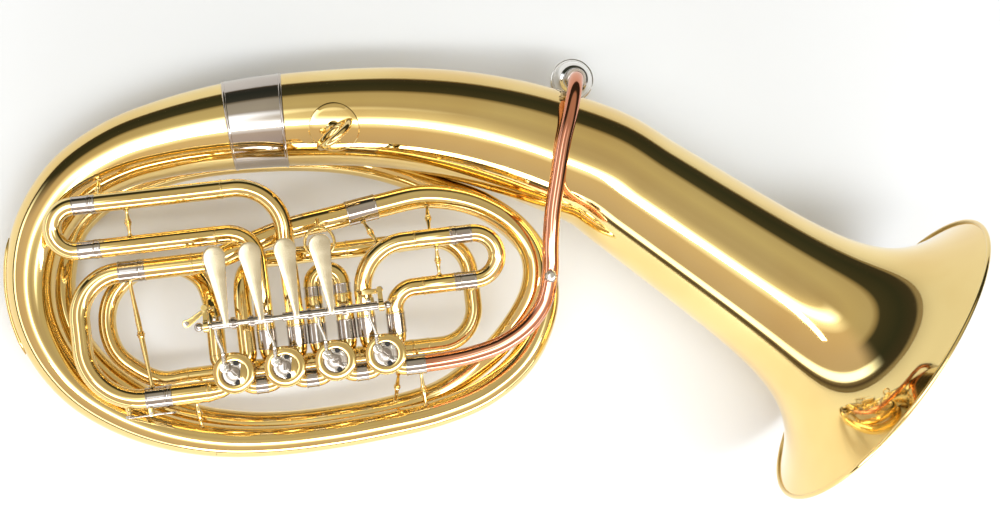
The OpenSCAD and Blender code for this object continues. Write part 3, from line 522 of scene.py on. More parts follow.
def guard():
    """Thin plate soldered along the outside of the outer bow, narrower at its ends."""
    us, _ = stations(CONE, 47.2, 49.5, 4)
    rings, half_angle, half = [], 19, 12
    for i, u in enumerate(us):
        side, up = level_and_up(heading(CONE, u))
        f = min(1, min(i, len(us) - 1 - i) / 2)
        shrink = min(1.0, 0.45 + 0.55 * sqrt(f))
        lifts = [0.3 + 1.5 * min(1, min(k, 2 * half - k) / 2) ** 0.5 * (0.4 + 0.6 * f)
                 for k in range(2 * half + 1)]
        ring = []
        for k, lift in [*enumerate(lifts), *((k, 0.02) for k in range(2 * half, -1, -1))]:
            a = radians(180 + (k / half - 1) * half_angle * shrink)
            r = radius_at(CONE, u) + lift
            ring.append(at(CONE, u) + (side * cos(a) + up * sin(a)) * r)
        rings.append(ring)
    Shell().closed(rings).make("guard_strip_skin", BRASS, "body", "guard_strip")


guard()


def strap():
    """Domed disc on the throat with a turned boss, and the ring that stands on it."""
    u, lean = 55.83, radians(21)
    disc_r, sides, steps = 20.0, 96, 14
    ring_r, wire = 14.5, 2.8
    c, h = at(CONE, u), heading(CONE, u)
    turn = Matrix.Translation(c) @ Matrix.Rotation(atan2(h.y, h.x), 4, "Z")
    turn = turn @ Matrix.Rotation(lean, 4, "X")

    def dome(x, y, lift):
        """Point over the throat's sheet; lift is its height."""
        r = 39.5 + 0.052 * x + lift
        return turn @ V(x, y, sqrt(max(r * r - y * y, 0.0)))

    rows = [(disc_r * k / steps, 1.25) for k in range(1, steps - 1)] + [(disc_r * 0.975, 1.15), (disc_r, 0.7)]
    rows += [(disc_r * k / steps, 0.12) for k in range(steps, 0, -1)]
    rings = [[dome(0, 0, 1.25)]]
    for r, lift in rows:
        angles = (2 * pi * k / sides for k in range(sides))
        rings.append([dome(r * cos(a), r * sin(a), lift) for a in angles])
    s = Shell()
    s.rings(rings + [[dome(0, 0, 0.12)]])
    up = (turn @ UP) - (turn @ V(0, 0, 0))
    s.lathe(turn @ V(0, 0, 0), up, filled((40.3, 6.4), (41.0, 5.6), (42.0, 4.4), (43.0, 3.8), (43.8, 3.4)))
    s.make("strap_plate_disc", BRASS, "body", "strap_plate")
    centre = turn @ V(0, 0, 43.9 + ring_r + wire)
    axis = turn.to_3x3() @ Matrix.Rotation(radians(38), 3, "Z") @ ACROSS
    Shell().torus(centre, axis, ring_r, wire, 128, 32).make("strap_ring_wire", BRASS, "body", "strap_ring")


strap()


# ---- valves
def casing(n):
    """Valve casing with four bent ports."""
    vx = VALVE_X[n]
    s = Shell()
    s.lathe(V(vx, 0, 0), UP, [
        (CASING_LOW, 4.1), (CASING_LOW, 14.0), (13.4, 14.7), (14.0, 15.0), (17.2, 15.0), (17.5, 15.25),
        (18.6, 15.25), (18.9, 15.0), (39.6, 15.0), (39.6, 13.3), (15.95, 13.3), (15.95, 4.1)], 96)
    bend = arc(PORT_START - KNUCKLE * cos(radians(45)), PORT_Y, KNUCKLE, -52, 52, 16)
    for flip in (1, -1):
        for route in (bend, [(y, -x) for x, y in bend]):
            s.tube([V(vx + x * flip, y, PORT_Z) for x, y in route], PORT_R, BORE, 48)
    return s.make(f"casing_{n + 1}_body", BRASS, "body", f"casing_{n + 1}")


for n in range(4):
    casing(n)

CAP_R, RECESS_R, CAP_TOP = 16.4, 10.7, 47.0


def cap(shell, vx):
    """Screwed cap ring: fine knurl round the side, flat top, narrow lip over the recess."""
    teeth, groove = 120, 0.16
    rows = [(40.05, 15.1, 0), (40.05, 15.9, 0), (40.4, CAP_R - 0.15, 0.6), (41.6, CAP_R - 0.05, 1),
            (43.4, CAP_R - 0.05, 1), (44.3, CAP_R - 0.15, 0.6), (44.6, CAP_R - 0.35, 0),
            (45.2, CAP_R - 0.3, 0), (46.1, CAP_R - 0.3, 0), (46.7, CAP_R - 0.65, 0), (47.0, CAP_R - 0.95, 0),
            (47.0, 10.1, 0), (46.93, 9.9, 0), (46.6, 9.85, 0), (46.55, RECESS_R, 0), (43.05, RECESS_R, 0),
            (43.05, 15.1, 0)]
    rings = []
    for z, r, knurl in rows:
        ring = []
        for j in range(2 * teeth):
            a, here = pi * j / teeth, r - knurl * groove * (j % 2)
            ring.append(V(vx + here * cos(a), here * sin(a), z))
        rings.append(ring)
    shell.rings(rings, loop=True)


def cap_cover(shell, vx):
    """Thin leaf of the cap over the right side of the recess."""
    edge, lean, r = 5.0, -8, RECESS_R + 0.15
    span = degrees(acos(edge / r))
    leaf = arc(0, 0, r, lean - span, 2 * span, 24)
    shell.slab(leaf, lambda x, y, z: V(vx + x, y, z), CAP_TOP - 0.45, CAP_TOP, 0.08)


s = Shell()
for vx in VALVE_X:
    cap(s, vx)
for vx in sorted(VALVE_X)[:2]:
    cap_cover(s, vx)
s.make("valve_cap_rings", BRASS, "body", "valve_caps", angle=50)

s = Shell()
for vx in VALVE_X:
    s.lathe(V(vx, 0, 0), UP, filled((8.82, 14.2), (9.2, 15.1), (9.7, 15.4), (12.4, 15.4), (12.85, 15.0),
                                    (12.95, 4.7), (11.8, 4.6)), 96)
    s.lathe(V(vx, 0, 0), UP, filled((7.4, 4.9), (7.8, 5.4), (8.8, 5.5)), 48)
    for x, y in arc(vx, 0, 15.3, 0, 351, 39):
        s.tube([V(x, y, 10.0), V(x, y, 12.1)], 0.42, None, 8)
s.make("rear_cap_discs", NICKEL, "body", "rear_caps")


def screw(shell, c, axis, r, h, slot_turn=0.0):
    """Cheese-head screw with a real slot."""
    axis = axis.normalized()
    e1 = across(axis)[0]
    e2 = axis.cross(e1)
    ct, st = cos(slot_turn), sin(slot_turn)
    start = degrees(asin(0.17))
    half = arc(0, 0, r, start, 180 - 2 * start, 20)

    def put(x, y, z):
        return c + e1 * (x * ct - y * st) + e2 * (x * st + y * ct) + axis * z

    shell.lathe(c, axis, filled((0.0, r), (h * 0.55, r)), 40)
    for side in (1, -1):
        shell.slab([(x * side, y * side) for x, y in half], put, h * 0.55, h, min(0.16, r * 0.12))
    return shell


def at_angle(vx, r, turn, z):
    a = radians(turn)
    return V(vx + r * cos(a), r * sin(a), z)


s, heads, plugs = Shell(), Shell(), Shell()
for i, vx in enumerate(VALVE_X):
    s.lathe(V(vx, 0, 0), UP, piped(4.05, (40.1, 13.15), (42.95, 13.15), (42.95, 10.9), (42.98, 10.6),
                                   (42.9, 10.4), (42.98, 10.2), (43.0, 6.2), (42.6, 5.9)), 96)
    for k, turn in enumerate((98, 262)):
        screw(heads, at_angle(vx, 8, turn, 43.02), UP, 1.45, 1.4, 0.5 + 1.3 * i + k)
    for k, turn in enumerate((38, -34)):
        screw(heads, at_angle(vx, 8.1, turn, 43.0), UP, 1.9, 1.5, 0.9 * i + k)
    for turn in (-73, 73):
        plugs.lathe(at_angle(vx, 8, turn, 43.02), UP, filled(
            (0, 1.95), (0.25, 2.02), (2.6, 2.02), (2.9, 1.85), (3.0, 1.5)), 40)
s.make("bearing_plate_discs", BRUSHED, "body", "bearing_plates")
heads.make("bearing_plate_screws", SILVER, "body")
plugs.make("rubber_stop_plugs", RUBBER, "body", "rubber_stops")


def stop_arm(n):
    """Arm on the rotor's stem: a stud on one side, a stop finger on the other."""
    turn = Matrix.Translation(V(VALVE_X[n], 0, 43.4)) @ Matrix.Rotation(radians(135), 4, "Z")
    out = arc(7.0, 0, 2.3, -90, 180, 12) + arc(0, 0, 4.6, 40, 100, 6)
    out += [(-4.6, 1.5), (-7.6, 1.45), (-8.15, 1.0), (-8.15, -1.0), (-7.6, -1.45), (-4.6, -1.5)]
    out += arc(0, 0, 4.6, 220, 100, 6)
    s = Shell()
    s.slab(out, lambda x, y, z: turn @ V(x, y, z), 0.0, 3.0, 0.3)
    s.lathe(turn @ V(7, 0, 0), UP, [(3.0, 0.0), (3.0, 1.9), (3.5, 1.9), (3.8, 1.3), (6.1, 1.3), (6.35, 1.1),
                                    (6.4, 0.0)], 40)
    s.lathe(turn @ V(0, 0, 0), UP, filled((3.0, 3.6), (3.25, 3.6), (3.3, 3.3)), 48)
    screw(s, turn @ V(0, 0, 3.25), UP, 2.7, 1.35, 0.9 + n)
    s.make(f"stop_arm_{n + 1}_arm", NICKEL, f"valve_{n + 1}", f"stop_arm_{n + 1}")


for n in range(4):
    stop_arm(n)

# connectors between the casings
s = Shell()
for a, b in zip(VALVE_X, VALVE_X[1:]):
    x0, x1 = a - PORT_Y, b + PORT_Y
    s.lathe(V(x0, -PORT_X, PORT_Z), -ALONG, sleeve_rows(abs(x1 - x0), PORT_R + 0.35, BORE, 0.3, 1.2), 64)
s.make("connector_sleeves", NICKEL, "body", "connectors")


# ---- loops and slides
TIP = {1: radians(9), 2: 0.0, 3: radians(9.8)}


def plane(n):
    """Maps (x, y) in the tilted plane of a loop to body millimetres."""
    a = TIP[n]

    def put(x, y):
        dy = y - PORT_Y
        return V(x, PORT_Y + dy * cos(a), PORT_Z + dy * sin(a))
    return put


NEAR1, FAR1, END1 = (PORT_X, 17.0, 50.4), (-PORT_X, 37.0, 87.9), 66.0
NEAR3, FAR3, END3 = (VALVE_X[2] - PORT_X, 22.0, 109.5), (VALVE_X[2] + PORT_X, 36.0, 144.5), -212.0
END2 = 52.0


def ring_line(shell, c, axis, r, width=0.8, high=0.45):
    """Low half-round ring where one tube is soldered into the next."""
    shell.lathe(c, axis, [(-width, r - 0.2), *bead(0, width, r, high), (width, r - 0.2)], 64)


def end_collar(shell, c, axis, inner, r=SLEEVE, length=4.6):
    """Nickel collar with two rounded lips on the end of an outer sleeve; c is the sleeve's end."""
    shell.lathe(c - axis * length, axis, [
        (0, r - 0.3), (0, r + 0.1), (0.3, r + 0.34), (1.0, r + 0.36), (1.3, r + 0.12),
        (length - 1.7, r + 0.12), (length - 1.5, r + 0.34), (length - 0.9, r + 0.36),
        (length - 0.2, r + 0.3), (length, r), (length, inner), (length - 0.8, inner)], 64)


def leg_rows(inner, leg_r, reach):
    """Profile of an inner slide leg, chamfered at its free end."""
    return piped(inner, (0, leg_r - 0.3), (0.3, leg_r), (reach + 1, leg_r))


def side_loop(n, near, far, sgn, end):
    put = plane(n)
    s, collars = Shell(), Shell()
    ax = (put(1, 0) - put(0, 0)).normalized() * sgn
    for px, er, ly in (near, far):
        elbow = px + sgn * (er + 8)
        pts = [put(px, PORT_Y + 0.1), put(px, ly), put(elbow, ly)]
        s.tube(corner_route(pts, [er]), SLEEVE - 0.15, BORE, 56)
        length = abs(end - elbow)
        s.lathe(put(elbow, ly), ax, [(0, BORE), (0, SLEEVE - 0.1), (0.2, SLEEVE), (length - 4.0, SLEEVE),
                                     (length - 4.0, LEG + FIT)], 64)
        end_collar(collars, put(end, ly), ax, LEG + FIT)
        ring_line(s, put(elbow, ly), ax, SLEEVE - 0.1)
        ring_line(s, put(px, PORT_Y + 18.0), put(0, 1) - put(0, 0), SLEEVE - 0.15, 0.7, 0.3)
    s.make(f"loop_{n}_tubes", BRASS, "body", f"loop_{n}")
    collars.make(f"loop_{n}_collars", NICKEL, "body")


def side_slide(n, low, high, sgn, end, reach):
    put = plane(n)
    ax = (put(1, 0) - put(0, 0)).normalized() * sgn
    legs, bands = Shell(), Shell()
    r, far = (high - low) / 2, end + sgn * 13
    pts = [put(far, low), put(far + sgn * r, low), put(far + sgn * r, high), put(far, high)]
    legs.tube(corner_route(pts, [r - 0.01, r - 0.01], 1.5), BOW_R, BORE - 0.2, 64)
    for y in (low, high):
        legs.lathe(put(end - sgn * reach, y), ax, leg_rows(BORE, LEG, reach), 64)
        bands.lathe(put(end + sgn * 0.1, y), ax, sleeve_rows(12.9, SLEEVE - 0.1, BORE - 0.1, 0.28, 1.3), 64)
    legs.make(f"slide_{n}_bow", BRASS, f"slide_{n}", f"slide_{n}")
    bands.make(f"slide_{n}_bands", NICKEL, f"slide_{n}")


side_loop(1, NEAR1, FAR1, 1, END1)
side_slide(1, NEAR1[2], FAR1[2], 1, END1, 26)
side_loop(3, NEAR3, FAR3, -1, END3)
side_slide(3, NEAR3[2], FAR3[2], -1, END3, 60)

s, legs, bands = Shell(), Shell(), Shell()
for sg in (-1, 1):
    x = VALVE_X[1] + sg * PORT_X
    L = END2 - PORT_Y
    s.lathe(V(x, PORT_Y, PORT_Z), ACROSS, [
        (0.05, BORE), (0.05, SLEEVE - 0.1), (15, SLEEVE - 0.1), (15.2, SLEEVE), (L - 2.3, SLEEVE),
        (L - 2.1, SLEEVE + 0.3), (L - 1.1, SLEEVE + 0.35), (L - 0.3, SLEEVE + 0.3), (L, SLEEVE),
        (L, LEG + FIT), (15, LEG + FIT), (15, BORE)], 64)
    legs.lathe(V(x, END2 - 20, PORT_Z), ACROSS, leg_rows(BORE, LEG, 20), 64)
    bands.lathe(V(x, END2 + 0.1, PORT_Z), ACROSS, sleeve_rows(7.9, SLEEVE - 0.1, BORE - 0.1, 0.28, 1.2), 64)
s.make("loop_2_tubes", BRASS, "body", "loop_2")
x0, x1, y0 = VALVE_X[1] - PORT_X, VALVE_X[1] + PORT_X, END2 + 8
y1 = y0 + PORT_X
crook = corner_route([V(x0, y0, PORT_Z), V(x0, y1, PORT_Z), V(x1, y1, PORT_Z), V(x1, y0, PORT_Z)],
                     [PORT_X - 0.01] * 2, 1.2)
legs.tube(crook, BOW_R, BORE - 0.2, 64)
legs.make("slide_2_bow", BRASS, "slide_2", "slide_2")
bands.make("slide_2_bands", NICKEL, "slide_2")

# fourth loop
LOW_Z, L4_TOP, L4_LOW, END4 = -4.0, 88.0, 1.0, 24.0
X4 = VALVE_X[3]
R4 = [[X4 + PORT_X, 0, PORT_Z], [X4 + PORT_X, PORT_Y, PORT_Z], [X4 + PORT_X, 38, 27.5],
      [X4 + PORT_X + 0.5, 60, 24.5], [-103, 77, 17], [-91, 86.5, 5], [-72, L4_TOP, LOW_Z],
      [-50, L4_TOP, LOW_Z], [-30, L4_TOP, LOW_Z]]
L4 = [[X4 - PORT_X, 0, PORT_Z], [X4 - PORT_X, PORT_Y, PORT_Z], [X4 - PORT_X, 36, 26], [-131.5, 56, 17],
      [-138, 76, 5], [-152, 88, -1.5], [-172, 92.5, LOW_Z], [-193, 88, LOW_Z], [-211, 72, LOW_Z],
      [-217, 50, LOW_Z], [-212, 27, LOW_Z], [-195, 9.5, LOW_Z], [-178, 1, LOW_Z],
      [-158, L4_LOW, LOW_Z], [-138, L4_LOW, LOW_Z]]
s = Shell()
for rows, stop in ((R4, 7), (L4, 13)):
    us, _ = stations(rows, 1, stop, 3)
    s.tube([at(rows, u) for u in us], PORT_R, BORE, 56)
for y, x0 in ((L4_TOP, -50.0), (L4_LOW, -158.0)):
    s.lathe(V(x0, y, LOW_Z), ALONG, piped(BORE, (0, PORT_R), (-20 - x0, PORT_R)), 56)
    L = END4 + 20
    s.lathe(V(-20, y, LOW_Z), ALONG, piped(
        LEG + FIT, (0, SLEEVE), (L - 2.3, SLEEVE), (L - 2.1, SLEEVE + 0.3), (L - 1.1, SLEEVE + 0.35),
        (L - 0.3, SLEEVE + 0.3), (L, SLEEVE)), 64)
    ring_line(s, V(-20, y, LOW_Z), ALONG, SLEEVE - 0.05)
    ring_line(s, V(x0, y, LOW_Z), ALONG, PORT_R)
s.make("loop_4_tubes", BRASS, "body", "loop_4")


def wide_slide(ys, z, sgn, ends, ferrule, straight, corner, reach, leg_r, bow_r, inner, band_r):
    """Inner half of a wide slide: two legs with their bands, and a bow with two round corners."""
    legs, bands = Shell(), Shell()
    ax = ALONG * sgn
    xo = straight[0] + sgn * corner[0]
    near = [V(end + sgn * (ferrule - 1), y, z) for end, y in zip(ends, ys)]
    pts = [near[0], V(xo, ys[0], z), V(xo, ys[1], z), near[1]]
    legs.tube(corner_route(pts, corner, 2.0), bow_r, inner - 0.2, 72)
    for y, end in zip(ys, ends):
        legs.lathe(V(end - sgn * reach, y, z), ax, leg_rows(inner, leg_r, reach), 64)
        band = sleeve_rows(ferrule - 0.1, band_r - 0.05, inner - 0.1, 0.3, 1.4)
        bands.lathe(V(end + sgn * 0.1, y, z), ax, band, 72)
    return legs, bands


legs, bands = wide_slide((L4_LOW, L4_TOP), LOW_Z, 1, (END4, END4), 14, (48, 48), (30, 30), 30,
                         LEG, BOW_R, BORE, SLEEVE)
legs.make("slide_4_bow", BRASS, "slide_4", "slide_4")
bands.make("slide_4_bands", BRASS, "slide_4")

# main tuning slide
TUN_R, TUN_LEG, TUN_BORE, TUN_TOP, TUN_LOW = 8.6, 7.9, 7.3, 89.0, -PORT_X
TUN_END, TUN_BOW, TUN_CORNER, TUN_TAPER = (-173.0, -183.0), (-189.0, -199.0), (44.0, 34.0), 7.0
s, collars = Shell(), Shell()
s.lathe(V(-132.05, TUN_TOP, PORT_Z), -ALONG, [
    (0, TUN_BORE), (0, TUN_R), (9.9, TUN_R), (46.9, TUN_R), (46.9, TUN_LEG + FIT), (9.95, TUN_LEG + FIT),
    (9.95, TUN_BORE)], 72)
x0 = X4 - PORT_Y - 0.05
x1 = x0 - TUN_TAPER
L = x0 - TUN_END[0]
widening = [(TUN_TAPER * k / 8, PORT_R + 0.3 + (TUN_R - PORT_R - 0.3) * (1 - cos(pi * k / 8)) / 2)
            for k in range(9)]
s.lathe(V(x0, TUN_LOW, PORT_Z), -ALONG, [
    (0, BORE), *widening, (L - 4.0, TUN_R), (L - 4.0, TUN_LEG + FIT), (TUN_TAPER, TUN_LEG + FIT),
    (TUN_TAPER, TUN_BORE)], 72)
for x, y in ((-142, TUN_TOP), (-133, TUN_TOP), (x1 - 0.6, TUN_LOW)):
    ring_line(s, V(x, y, PORT_Z), -ALONG, TUN_R, 0.9)
for end, y in zip(TUN_END, (TUN_LOW, TUN_TOP)):
    end_collar(collars, V(end, y, PORT_Z), -ALONG, TUN_LEG + FIT, TUN_R)
s.make("tuning_sleeve_tubes", BRASS, "body", "tuning_sleeves")
collars.make("tuning_sleeve_collars", NICKEL, "body")
legs, bands = wide_slide((TUN_LOW, TUN_TOP), PORT_Z, -1, TUN_END, 16, TUN_BOW, TUN_CORNER, 30,
                         TUN_LEG, TUN_LEG + 0.2, TUN_BORE, TUN_R)


def stay(shell, a, b, r=2.0):
    """Turned stay with a bead in the middle, thinning to both ends, on small dished feet."""
    L = (b - a).length
    first = [(0.0, 1.15), (0.5, 1.1), (1.0, 0.72), (2.2, 0.62)]
    swell = [(f, 0.62 + 0.34 * sin(pi * (f - 0.08) / 0.8) ** 2) for f in (0.15, 0.22, 0.3, 0.38)]
    middle = [(-2.6, 0.9), (-2.2, 1.15), (-1.5, 1.2), (-1.0, 1.0), (-0.6, 1.32), (0, 1.42)]
    middle += [(-d, w) for d, w in reversed(middle[:-1])]
    swell += [(f, 0.62 + 0.34 * sin(pi * (0.92 - f) / 0.8) ** 2) for f in (0.62, 0.7, 0.78, 0.85)]
    rows = first + [(L * f, w) for f, w in swell] + [(L / 2 + d, w) for d, w in middle]
    rows += [(L - d, w) for d, w in reversed(first)]
    rows = sorted(((d, r * w) for d, w in rows), key=lambda row: row[0])
    shell.lathe(a, b - a, filled(*rows), 40)


def between(p, rp, q, rq):
    d = (q - p).normalized()
    return p + d * (rp + 0.05), q - d * (rq + 0.05)


stay(legs, V(-183.5, TUN_LOW + TUN_R - 0.1, PORT_Z), V(-191.5, TUN_TOP - TUN_R + 0.1, PORT_Z), 2.4)
# water key posts and nipple
KEY_X, KEY_Y = -186.0, TUN_LOW - TUN_R - 4.6
NIP_X = -203.0
foot = TUN_LOW - TUN_LEG + 0.6
post = [(-2, foot), (-2, KEY_Y + 0.6), (-1.4, KEY_Y - 0.6), (0, KEY_Y - 1.0), (1.4, KEY_Y - 0.6),
        (2, KEY_Y + 0.6), (2, foot)]
for dz in (-4.4, 3.0):
    legs.slab([(KEY_X + x, y) for x, y in post], V, PORT_Z + dz, PORT_Z + dz + 1.4, 0.25)
legs.lathe(V(NIP_X, TUN_LOW - TUN_LEG + 2.7, PORT_Z), -ACROSS, filled(
    (0, 3.0), (2.3, 3.0), (2.9, 2.5), (3.2, 2.2), (5.4, 2.15), (5.6, 1.9)), 40)
legs.make("tuning_slide_bow", BRASS, "tuning_slide", "tuning_slide")
bands.make("tuning_slide_bands", NICKEL, "tuning_slide")

s = Shell()
s.lathe(V(KEY_X, KEY_Y + 1.4, PORT_Z - 5.1), UP, filled(
    (0, 1.4), (0.5, 1.5), (0.9, 0.9), (9.2, 0.9), (9.6, 1.4), (10.1, 1.3)), 32)
s.lathe(V(KEY_X, KEY_Y + 1.4, PORT_Z - 2.9), UP, filled((0, 1.8), (0.3, 2.0), (5.5, 2.0), (5.8, 1.8)), 40)
out = arc(NIP_X, 0, 3.24, 90, 180, 12, 3.4)
out += [(NIP_X + 5, -1.7), (KEY_X, -1.9), (KEY_X + 10, -1.6)]
out += arc(NIP_X + 32, 0, 4.0, -90, 180, 12, 3.6)
out += [(KEY_X + 10, 1.6), (KEY_X, 1.9), (NIP_X + 5, 1.7)]
s.slab(out, lambda x, y, z: V(x, KEY_Y - 0.6 + z, PORT_Z - y), 0.0, 1.4, 0.3)
s.lathe(V(NIP_X, KEY_Y + 0.5, PORT_Z), ACROSS, filled((0, 3.3), (1.2, 3.3), (1.45, 3.0)), 40)
s.make("water_key_lever", NICKEL, "water_key", "water_key")


# ---- ferrules
def ferrule_profile(total):
    flat = [(total * f, 0.65) for f in (0.2, 0.35, 0.5, 0.65, 0.8)]
    return [(0, 0.04), *bead(0.8, 0.7, 0.65, 0.25, 6), *flat, *bead(total - 0.8, 0.7, 0.65, 0.25, 6),
            (total, 0.04)]


s = Shell()
for n in (1, 2, 3):
    put = plane(n)
    ax = put(0, 1) - put(0, 0)
    for sg in (-1, 1):
        c = put(VALVE_X[n - 1] + sg * PORT_X, PORT_Y) + ax * (0.9 if n != 2 else 0.1)
        s.lathe(c, ax, sleeve_rows(16.0, SLEEVE + 0.38, SLEEVE - 0.3, 0.22, 1.2), 64)
s.lathe(V(PORT_Y, -PORT_X, PORT_Z), ALONG, sleeve_rows(FERRULE_END - PORT_Y, 7.75, BORE, 0.25, 1.3), 64)
band_along(s, CONE, BRANCH - 0.34, BRANCH + 0.3, ferrule_profile, 72)
s.make("nickel_ferrules", NICKEL, "body", "ferrules")


# ---- levers
SHAFT_Y, SHAFT_Z, SHAFT_R, HUB_R, ARM = 38.0, 78.0, 2.0, 3.4, 26.0
PIN = 7.0 * cos(radians(45))
HALF = asin(PIN / ARM)
LINK_Z, LINK_Y = SHAFT_Z - ARM * cos(HALF), SHAFT_Y + PIN
LEVER_X = [-38.0, -64.5, -91.0, -117.5]
HUB_FROM, HUB_TO = [-42.0, -75.0, -101.0, -128.0], [-3.0, -42.4, -82.4, -108.5]
LINK_OFF = -6.0
REACH, FINGER = 51.0, 8.6
LEAN = -3.0

s = Shell()
s.lathe(V(-138, SHAFT_Y, SHAFT_Z), ALONG, filled((0, SHAFT_R), (143, SHAFT_R)), 40)
s.ball(V(-138, SHAFT_Y, SHAFT_Z), 3.4)
s.ball(V(5, SHAFT_Y, SHAFT_Z), 3.0)
s.make("lever_shaft_rod", NICKEL, "body", "lever_shaft")


def paddle_outline():
    """Spatula: a round end drawn down in a long taper to the hub."""
    pts = arc(LEAN, REACH, FINGER, -18, 216, 32)
    steps = 16

    def taper(corner, x_end):
        x, y = corner
        fractions = (k / steps for k in range(1, steps))
        return [(x + (x_end - x) * f ** 0.85, y + (1.0 - y) * f) for f in fractions]

    hub = [(-2.3, 1.0), (-2.3, -2.0), (2.3, -2.0), (2.3, 1.0)]
    return pts + taper(pts[-1], -2.3) + hub + taper(pts[0], 2.3)[::-1]


def mid_x(py):
    """Middle line of the finger plate at a distance from the shaft."""
    return LEAN * max(0.0, min(1.0, py / REACH))


def lever(n):
    x, lx = LEVER_X[n], VALVE_X[n] + LINK_OFF
    s, paddle = Shell(), Shell()
    L = HUB_TO[n] - HUB_FROM[n]
    end = [(0, HUB_R - 0.3), (0.25, HUB_R), (1.6, HUB_R), (1.8, HUB_R - 0.25), (2.1, HUB_R - 0.25),
           (2.3, HUB_R - 0.1)]
    hub = piped(SHAFT_R + FIT, *end, *((L - d, r) for d, r in reversed(end)))
    s.lathe(V(HUB_FROM[n], SHAFT_Y, SHAFT_Z), ALONG, hub, 56)
    # finger plate: rounded edge, then rings that rise to a slight crown
    edge, rings = paddle_outline(), []
    for inset, z in ((0.55, 2.42), (0.15, 2.6), (0.0, 3.0), (0.1, 3.3), (0.4, 3.5)):
        rings.append([(mid_x(py) + (px - mid_x(py)) * (1 - inset / FINGER), py - inset * (py - 12) / 26, z)
                      for px, py in edge])
    for f in (0.85, 0.68, 0.5, 0.32, 0.15):
        rings.append([(mid_x(py) + (px - mid_x(py)) * f, py - (py - 12) * (1 - f) * 0.16,
                       3.5 + 0.34 * (1 - f * f)) for px, py in edge])
    paddle.closed([[V(x + px, SHAFT_Y + py, SHAFT_Z + z) for px, py, z in ring] for ring in rings])
    # saddle where the finger plate is soldered to the hub
    s.block((x - 2.9, SHAFT_Y - 2.6, SHAFT_Z + 1.2), (x + 2.9, SHAFT_Y + 2.6, SHAFT_Z + 3.2), 0.5)
    # lower arm, turned back by half the lever's travel
    turn = Matrix.Translation(V(0, SHAFT_Y, SHAFT_Z)) @ Matrix.Rotation(HALF, 4, "X")
    out = arc(0, -ARM, 2.5, 180, 180, 8)
    out += [(2.0, 5 - ARM), (1.7, -9), (2.6, -2.4), (-2.6, -2.4), (-1.7, -9), (-2.0, 5 - ARM)]
    s.slab(out, lambda py, pz, w: turn @ V(lx - 1.5 + w, py, pz), 0.0, 3.0, 0.35)
    s.lathe(V(lx - 1.5, LINK_Y, LINK_Z), -ALONG, filled(
        (0, 1.2), (3.0, 1.2), (3.05, 1.9), (3.3, 1.9), (3.5, 1.6)), 32)
    s.make(f"lever_{n + 1}_key", NICKEL, f"key_{n + 1}", f"lever_{n + 1}")
    paddle.make(f"lever_{n + 1}_paddle", SATIN, f"key_{n + 1}")


def link(n):
    o = V(VALVE_X[n] + LINK_OFF, 0, LINK_Z)
    ex, rod_r = -3.3, 1.45
    s = Shell()
    eye = piped(1.25, (0, 2.5), (0.3, 2.8), (1.7, 2.8), (2.0, 2.5))
    s.lathe(o + V(ex - 1, LINK_Y, 0), ALONG, eye, 40)
    pts = [V(ex, LINK_Y - 2.6, 0), V(ex, LINK_Y - 14, 0), V(0, LINK_Y - 24, 0), V(0, PIN + 3.6, 0)]
    s.tube(corner_route([o + p for p in pts], [14, 14], 1.2), rod_r, None, 24)
    # adjusting nut and threaded neck near the stop arm
    nut = filled((0, 1.7), (0.3, 1.9), (2.2, 1.9), (2.5, 1.7))
    s.lathe(o + V(0, PIN + 12, 0), -ACROSS, nut, 6)
    for k in range(9):
        s.torus(o + V(0, PIN + 8.8 - k * 0.5, 0), ACROSS, rod_r, 0.2, 24, 8)
    c = o + V(0, PIN, 0)
    s.lathe(c, UP, [(-1.0, 2.7), (-1.3, 3.0), (-1.25, 3.5), (-0.6, 3.85), (0.6, 3.85), (1.25, 3.5),
                    (1.3, 3.0), (1.0, 2.7)], 48)
    # retaining screw seen in the eye
    screw(s, c - UP * 0.6, UP, 2.55, 1.9, 0.4 + n * 0.8)
    s.make(f"link_{n + 1}_rod", SILVER, f"link_{n + 1}", f"link_{n + 1}")


for n in range(4):
    lever(n)
    link(n)

# coil springs round the hubs
s = Shell()
turns, per_turn, pitch = 3.6, 36, 0.85
for x in (-30.0, -56.0, -99.5, -113.4):
    pts = []
    for k in range(int(turns * per_turn) + 1):
        a = 2 * pi * k / per_turn
        pts.append(V(x + pitch * k / per_turn, SHAFT_Y + 4.2 * cos(a), SHAFT_Z + 4.2 * sin(a)))
    s.tube(pts, 0.42, None, 12)
s.make("return_spring_coils", NICKEL, "body", "return_springs")


